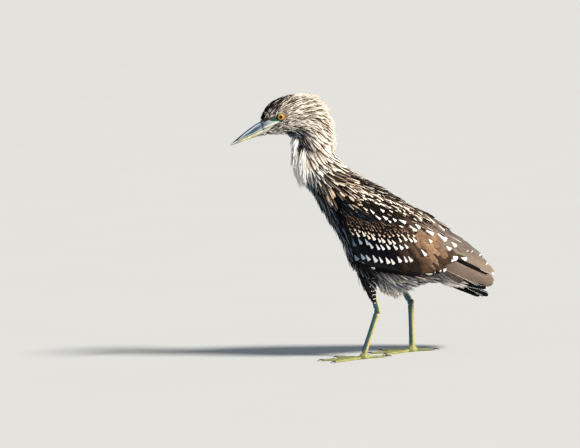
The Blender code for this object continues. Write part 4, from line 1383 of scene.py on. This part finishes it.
# the white patches behind the wing's lower edge: tip, angle, length, half width, where the white starts,
# sink at the tip, how it flares
for tip, angle, length, half, spot, sink, flare in (
    ((159, 160), -52, 30, 6.5, 0.56, -0.8, 1.6), ((152, 157.5), -66, 26, 4.0, 0.70, -0.9, 1.2),
    ((177, 160), -20, 26, 4.2, 0.45, -1.2, 1.3), ((139, 142.5), -40, 28, 5.5, 0.70, -0.4, 1.5),
    ((130, 142), -50, 26, 4.0, 0.82, -0.2, 1.4), ((120, 140), -44, 26, 4.5, 0.88, 0.2, 1.2),
    ((110, 138), -44, 26, 4.5, 0.86, 0.4, 1.2), ((102, 137.5), -44, 26, 4.0, 0.90, 0.4, 1.2),
    ((3, 163.5), -18, 16, 1.5, 0.25, 0.6, 1.6), ((16, 154), -14, 20, 1.9, 0.30, 0.8, 1.6),
):
    shaft = turned(tip, angle, length)
    lay(coverts, shaft, half, (2.4, sink), BROWN, WHITE, (0.0, spot, 0.0), point=0.70, flare=flare)

for side in SIDES:
    coverts[side].build(f"coverts_{side}", PLUMAGE, "plumage_brown")
    flights[side].build(f"flights_{side}", PLUMAGE, "plumage_brown", [f"flight_feathers_{side}"])

# ---------------------------------------------------------------- tail

tail = Coat(WIDE_PATCH)
# painted shade: the tail's feathers near black, INK and SOOT in turn, over their grey-brown
for i, out in enumerate((5, -5, 4, -4, 3, -3, 2, -2, 1, -1, 0.3, -0.3)):
    t = ring_places(12, 1)
    start = Vector((0.128, 0.0010 * out, 0.146))
    end = Vector((TAIL_TIP.x - 0.0020 - 0.0012 * abs(out), 0.0031 * out, 0.0935 + 0.0007 * (5 - abs(out))))
    middle = np.array([start.lerp(end, k) for k in t])
    middle[:, 2] -= 0.002 * np.sin(pi * t)
    share = width_profile(t, 0.85, 1.0)
    half = 0.0072 * share[:, None] * np.array([0.0, 1.0, -0.04 * np.sign(out)])
    tail.add([middle - half, middle - half * 0.5, middle, middle + half * 0.5, middle + half],
             np.array([0.56, 0.0, 0.83]) * TAIL_THICK, np.array(INK if i % 2 else SOOT), np.array(WHITE),
             (0.0, 0.92, 0.13), (share, 1.4, 0.0))
# its outer feathers, their edges and tips white, over the tail's sides; their ground near black, painted
# shade
for root, tip, out, edge in (
    ((152, 124), (209, 109.5), 15.6, 0.08),
    ((145, 120), (197, 96.5), 17.0, 0.12),
    ((152, 119), (212, 96.0), 16.2, 0.10),
):
    for sign in SIDES.values():
        at = Vector((root[0], sign * out, root[1])) * MM
        way = Vector((tip[0], sign * (out - 1.5), tip[1])) * MM - at
        hang(tail, at, way, (0.0, sign, 0.25), way.length, 0.0044, INK, WHITE, (0.0, 0.93, edge), point=0.80,
             steps=12)
tail.build("tail_feathers", PLUMAGE, "plumage_brown")

# ---------------------------------------------------------------- eyes, lids


def eye_material():
    n = Nodes("eye")
    x, _, z = n.parts(n.place())
    r = n.math("SQRT", x * x + z * z) / EYE_RADIUS
    fibres = n.noise(n.vector(n.math("ARCTAN2", z, x) * 6.0, r * 3.0, 0.0), 3.0, 3.0)
    iris = n.mix(n.ramp(r, 0.38, 0.74), (0.80, 0.50, 0.07), (0.46, 0.17, 0.010))
    iris = n.mix(n.ramp(fibres, 0.40, 0.70) * 0.7, iris, (0.30, 0.09, 0.01))
    colour = n.mix(n.ramp(r, 0.37, 0.40), (0.002, 0.002, 0.002), iris)
    colour = n.mix(n.ramp(r, 0.84, 0.94), colour, (0.02, 0.012, 0.008))
    return n.finish(colour, 0.08, Specular_IOR_Level=0.15, Coat_Weight=0.45, Coat_Roughness=0.02)


EYE = eye_material()


def make_eye(side):
    """The eyeball, with its cornea's slight bulge, turned a little forwards."""
    sign = SIDES[side]
    shape = bmesh.new()
    bmesh.ops.create_uvsphere(shape, u_segments=48, v_segments=32, radius=EYE_RADIUS)
    for v in shape.verts:
        v.co.z += 0.0005 * float(smoothstep(0.62, 1.0, v.co.z / EYE_RADIUS))
    mesh = mesh_of(f"eyeball_{side}", shape)
    mesh.transform(Matrix.Rotation(-sign * pi / 2, 4, "X"))
    eye = object_of(f"eyeball_{side}", mesh, EYE)
    eye.matrix_world = Matrix.Translation(EYE_BALLS[side]) @ Matrix.Rotation(sign * radians(8), 4, "Z")
    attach(eye, "root")
    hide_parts(f"eye_{side}")


def lid_material():
    n = Nodes("lid")
    wrinkles = n.noise(n.place(), 1400.0, 3.0)
    n.bump(wrinkles, 0.5)
    return n.finish(n.shaded(n.attribute("tone", "Color"), wrinkles * 0.5 + 0.75), 0.5)


LID = lid_material()


# across the lid's rim, from the eyeball to the feathers and back beneath: how far outside the opening's edge,
# and how far above the eyeball
LID_SECTION = [
    (-0.5, 0.10), (0.1, 0.55), (0.7, 0.75), (1.3, 0.55), (2.0, 0.1), (2.8, -0.9), (2.2, -1.6), (0.4, -0.8),
]
LID_EDGE, LID_DARK, LID_PALE = (0.012, 0.010, 0.010), (0.05, 0.10, 0.07), (0.78, 0.76, 0.68)
OPEN_WIDE, OPEN_UP, OPEN_DOWN, OPEN_POWER = 7.9, 6.2, 5.7, 1.8  # the almond opening, mm


def make_lids(side):
    """A rim of skin round the almond opening, from the eyeball out to the feathers."""
    sign = SIDES[side]
    centre = EYE_BALLS[side]
    count, size = 64, len(LID_SECTION)
    shape = bmesh.new()
    grid, tones = [], []
    for i in range(count):
        angle = 2 * pi * i / count
        dx, dz = cos(angle), sin(angle)
        open_z = OPEN_UP if dz > 0 else OPEN_DOWN
        r = 1 / ((abs(dx) / OPEN_WIDE) ** OPEN_POWER + (abs(dz) / open_z) ** OPEN_POWER) ** (1 / OPEN_POWER)
        pale = float(smoothstep(-0.5, 0.5, dz * 0.8 + dx * 0.7))
        skin = tuple(a + (b - a) * pale for a, b in zip(LID_DARK, LID_PALE))
        ring = []
        for k, (out, up) in enumerate(LID_SECTION):
            reach = (r + out) * MM
            level = max(EYE_RADIUS**2 - min(reach, 0.0078) ** 2, 0.0) ** 0.5 + up * MM
            ring.append(shape.verts.new(centre + Vector((dx * reach, sign * level, dz * reach))))
            tones.append(LID_EDGE if k in (0, 1, 7) else skin)
        grid.append(ring)
    for a, b in zip(grid, grid[1:] + grid[:1]):
        for j in range(size):
            k = (j + 1) % size
            shape.faces.new((a[j], a[k], b[k], b[j]))
    bmesh.ops.recalc_face_normals(shape, faces=shape.faces)
    mesh = mesh_of(f"lids_{side}", shape)
    colour_attribute(mesh, "tone", np.array(tones))
    lids = object_of(f"lids_{side}", mesh, LID)
    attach(lids, "root")


for side in SIDES:
    make_eye(side)
    make_lids(side)

# ---------------------------------------------------------------- bill


def bill_material(name, rough):
    n = Nodes(name)
    x, y, z = n.parts(n.place())
    along, across = z * 0.75 + x, x * -0.75 + z
    grain = n.noise(n.vector(along * 90.0, y * 600.0, across * 600.0), 1.0, 4.0)
    n.bump(grain, 0.35)
    return n.finish(n.shaded(n.attribute("tone", "Color"), grain * 1.5 + 0.25), grain * 0.25 + rough)


NOSTRIL = [(-179, 409.5), (-169, 414.5)]
GROOVE = [(-206, 395.5), (-169, 415)]


def bill_colours(places, upper):
    x = places[:, 0]
    over_gape = off_line(places, GAPE)
    under_ridge = -off_line(places, RIDGE)
    tip = smoothstep(-0.196, -0.212, x)
    streaks = np.sin(under_ridge * 2.4 + 1.2) * 0.5 + 0.5
    if upper:
        return painted(
            (0.060, 0.095, 0.140),
            # painted highlight: a pale blue band below the dark ridge, where the sky's reflection lies
            ((0.50, 0.61, 0.70), band(under_ridge, (1.6, 2.6), (3.4, 5.4))),
            ((0.035, 0.055, 0.085), streaks * smoothstep(2.6, 4.0, under_ridge) * 0.8),
            ((0.006, 0.010, 0.022), 1 - smoothstep(0.9, 2.3, under_ridge)),
            ((0.26, 0.34, 0.40), smoothstep(-0.184, -0.166, x) * smoothstep(2.0, 4.5, under_ridge) * 0.8),
            ((0.62, 0.68, 0.66), band(over_gape, (0.3, 0.8), (1.2, 2.2)) * 0.8),
            ((0.008, 0.009, 0.012), fade(0.5, 1.0, off_line(places, NOSTRIL))),
            ((0.010, 0.012, 0.016), tip * smoothstep(1.4, 2.2, over_gape) * 0.9),
        )
    return painted(
        (0.78, 0.74, 0.52),
        ((0.92, 0.86, 0.42), band(x, (-0.207, -0.200), (-0.188, -0.176)) * 0.8),
        ((0.05, 0.055, 0.055), tip * 0.6),
        ((0.30, 0.32, 0.26), smoothstep(3.2, 6.5, -over_gape)),
        ((0.05, 0.055, 0.050), fade(0.2, 0.7, over_gape)),
    )


BILL_RUN = Vector((0.0035, 0, 0))  # how far the horn runs on beneath the face's skin


def make_bill(name, upper):
    """One half of the bill, its root a little narrower and run on beneath the skin."""
    shape = joined([name])
    base = [f for f in shape.faces if f.normal.x > 0.9 and f.calc_center_median().x > BILL_BASE - 0.001]
    grown = bmesh.ops.extrude_face_region(shape, geom=base)
    inner = [g for g in grown["geom"] if isinstance(g, bmesh.types.BMVert)]
    middle = sum((v.co for v in inner), Vector()) / len(inner)
    for v in inner:
        v.co = middle + (v.co - middle) * 1.05 + BILL_RUN
    bmesh.ops.delete(shape, geom=base, context="FACES_ONLY")
    bill = remeshed(f"{name}_horn", shape, 0.0005, smooth=4)
    mesh = bill.data
    places, normals = read(mesh.vertices), read(mesh.vertex_normals, "vector")
    under_skin = smoothstep(BILL_BASE + 0.0012, BILL_BASE + 0.0034, places[:, 0])
    places = places - normals * (0.0007 * under_skin)[:, None]
    if upper:
        slit = fade(0.3, 1.1, off_line(places, NOSTRIL))
        groove = fade(0.4, 1.6, off_line(places, GROOVE))
        on_side = np.abs(normals[:, 1]) > 0.3
        places = places - normals * ((slit * 0.0006 + groove * 0.0003) * on_side)[:, None]
    move_vertices(mesh, places)
    colour_attribute(mesh, "tone", bill_colours(places, upper))
    mesh.materials.append(bill_material(f"{name}_horn", 0.26 if upper else 0.34))
    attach(bill, "root")
    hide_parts(name)


make_bill("bill_upper", True)
make_bill("bill_lower", False)

# ---------------------------------------------------------------- legs


def leg_material():
    n = Nodes("leg_skin")
    place = n.place()
    x, y, z = n.parts(place)
    cells = {"Vector": n.vector(x, y, z * 0.6), "Scale": 620.0}
    plates = n.ramp(n.node("TexVoronoi", cells, "Distance", feature="DISTANCE_TO_EDGE"), 0.0, 0.10)
    n.bump(plates, 0.6, 0.0004)
    shade = (n.noise(place, 90.0) * 0.6 + 0.7) * (plates * 0.45 + 0.55)
    return n.finish(n.shaded(n.attribute("tone", "Color"), shade), 0.42)


LEG = leg_material()
TOES = ("inner", "middle", "outer", "hind")
LEG_PARTS = ["shank", "ankle", "tarsus", "foot", *(f"toe_{toe}" for toe in TOES)]
SHANK_RUN = 0.011  # how far the shank's top runs on into the thigh's feathers
SHANK_TAPER = 0.45


def make_leg(side):
    """A leg's bare skin, from the shank to the toes, over its solids."""
    nodes = [f"{part}_{side}" for part in LEG_PARTS]
    leg = remeshed(f"leg_{side}", joined(nodes, grow=0.0007), 0.0006, smooth=20)
    places, normals = read(leg.data.vertices), read(leg.data.vertex_normals, "vector")
    places[:, 2] = np.maximum(places[:, 2], 0.0)
    low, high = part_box(f"shank_{side}")
    end = smoothstep(high.z - 0.004, high.z - 0.001, places[:, 2])[:, None]
    knee = places[places[:, 2] > high.z - 0.003].mean(0)
    ankle = places[np.abs(places[:, 2] - low.z - 0.006) < 0.001].mean(0)
    up = (knee - ankle) / np.linalg.norm(knee - ankle)
    places = places + end * (up * SHANK_RUN - (places - knee) * SHANK_TAPER)
    move_vertices(leg.data, places)
    # teal in front, yellow behind and on the joints and toes, by which way the skin faces: painted shade in
    # front and painted light behind, over the leg's own yellow-green
    rear = smoothstep(0.0, 0.5, normals[:, 0] - 0.35 * smoothstep(0.070, 0.095, places[:, 2]))
    foot = fade(0.008, 0.018, places[:, 2]) * 0.75
    tone = painted((0.012, 0.084, 0.102), ((0.70, 0.57, 0.17), rear), ((0.34, 0.34, 0.10), foot))
    colour_attribute(leg.data, "tone", tone)
    leg.data.materials.append(LEG)
    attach(leg, "root")
    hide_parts(*nodes)


for side in SIDES:
    make_leg(side)


def claw_material():
    n = Nodes("claw_horn")
    grain = n.noise(n.place(), 500.0)
    n.bump(grain, 0.2)
    return n.finish(n.mix(grain, (0.03, 0.027, 0.024), (0.10, 0.09, 0.08)), 0.32)


CLAW = claw_material()
for toe in TOES:
    for side in SIDES:
        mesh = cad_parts[f"claw_{toe}_{side}"].data
        mesh.materials.clear()
        mesh.materials.append(CLAW)

# ---------------------------------------------------------------- floor, light, camera


def studio():
    n = Nodes("floor")
    colour = n.mix(n.noise(n.place(), 3.0), (0.60, 0.60, 0.59), (0.62, 0.62, 0.61))
    floor = bpy.data.meshes.new("floor")
    wide = 60
    corners = [(-wide, -wide, 0), (wide, -wide, 0), (wide, wide, 0), (-wide, wide, 0)]
    floor.from_pydata(corners, [], [(0, 1, 2, 3)])
    object_of("floor", floor, n.finish(colour, 0.9))
    world = bpy.data.worlds.new("studio")
    bpy.context.scene.world = world
    world.use_nodes = True
    sky = world.node_tree.nodes["Background"].inputs
    sky["Color"].default_value = (0.74, 0.86, 1.0, 1.0)
    sky["Strength"].default_value = 0.30
    key = bpy.data.lights.new("key", "SUN")
    key.energy = 5.2
    key.angle = radians(11)
    key.color = (1.0, 0.95, 0.87)
    lamp = bpy.data.objects.new("key", key)
    bpy.context.scene.collection.objects.link(lamp)
    lamp.rotation_euler = Vector((0.74, -0.66, 0.84)).to_track_quat("Z", "Y").to_euler()


studio()

CAMERA_AIM = Vector((-0.1276, 0.0, 0.241))
CAMERA_FAR, FRAME_WIDE = 8.0, 1.015
CAMERA_UP, CAMERA_ROLL = radians(5), radians(-3.5)
SENSOR = 36
lens = bpy.data.cameras.new("camera")
lens.sensor_width = SENSOR
lens.lens = SENSOR * CAMERA_FAR / FRAME_WIDE
lens.clip_end = 200
camera = bpy.data.objects.new("camera", lens)
bpy.context.scene.collection.objects.link(camera)
back = Vector((0, -cos(CAMERA_UP), sin(CAMERA_UP)))
camera.location = CAMERA_AIM + back * CAMERA_FAR
turn = back.to_track_quat("Z", "Y").to_matrix().to_4x4() @ Matrix.Rotation(CAMERA_ROLL, 4, "Z")
camera.rotation_euler = turn.to_euler()
bpy.context.scene.camera = camera
bpy.context.scene.view_settings.view_transform = "Standard"
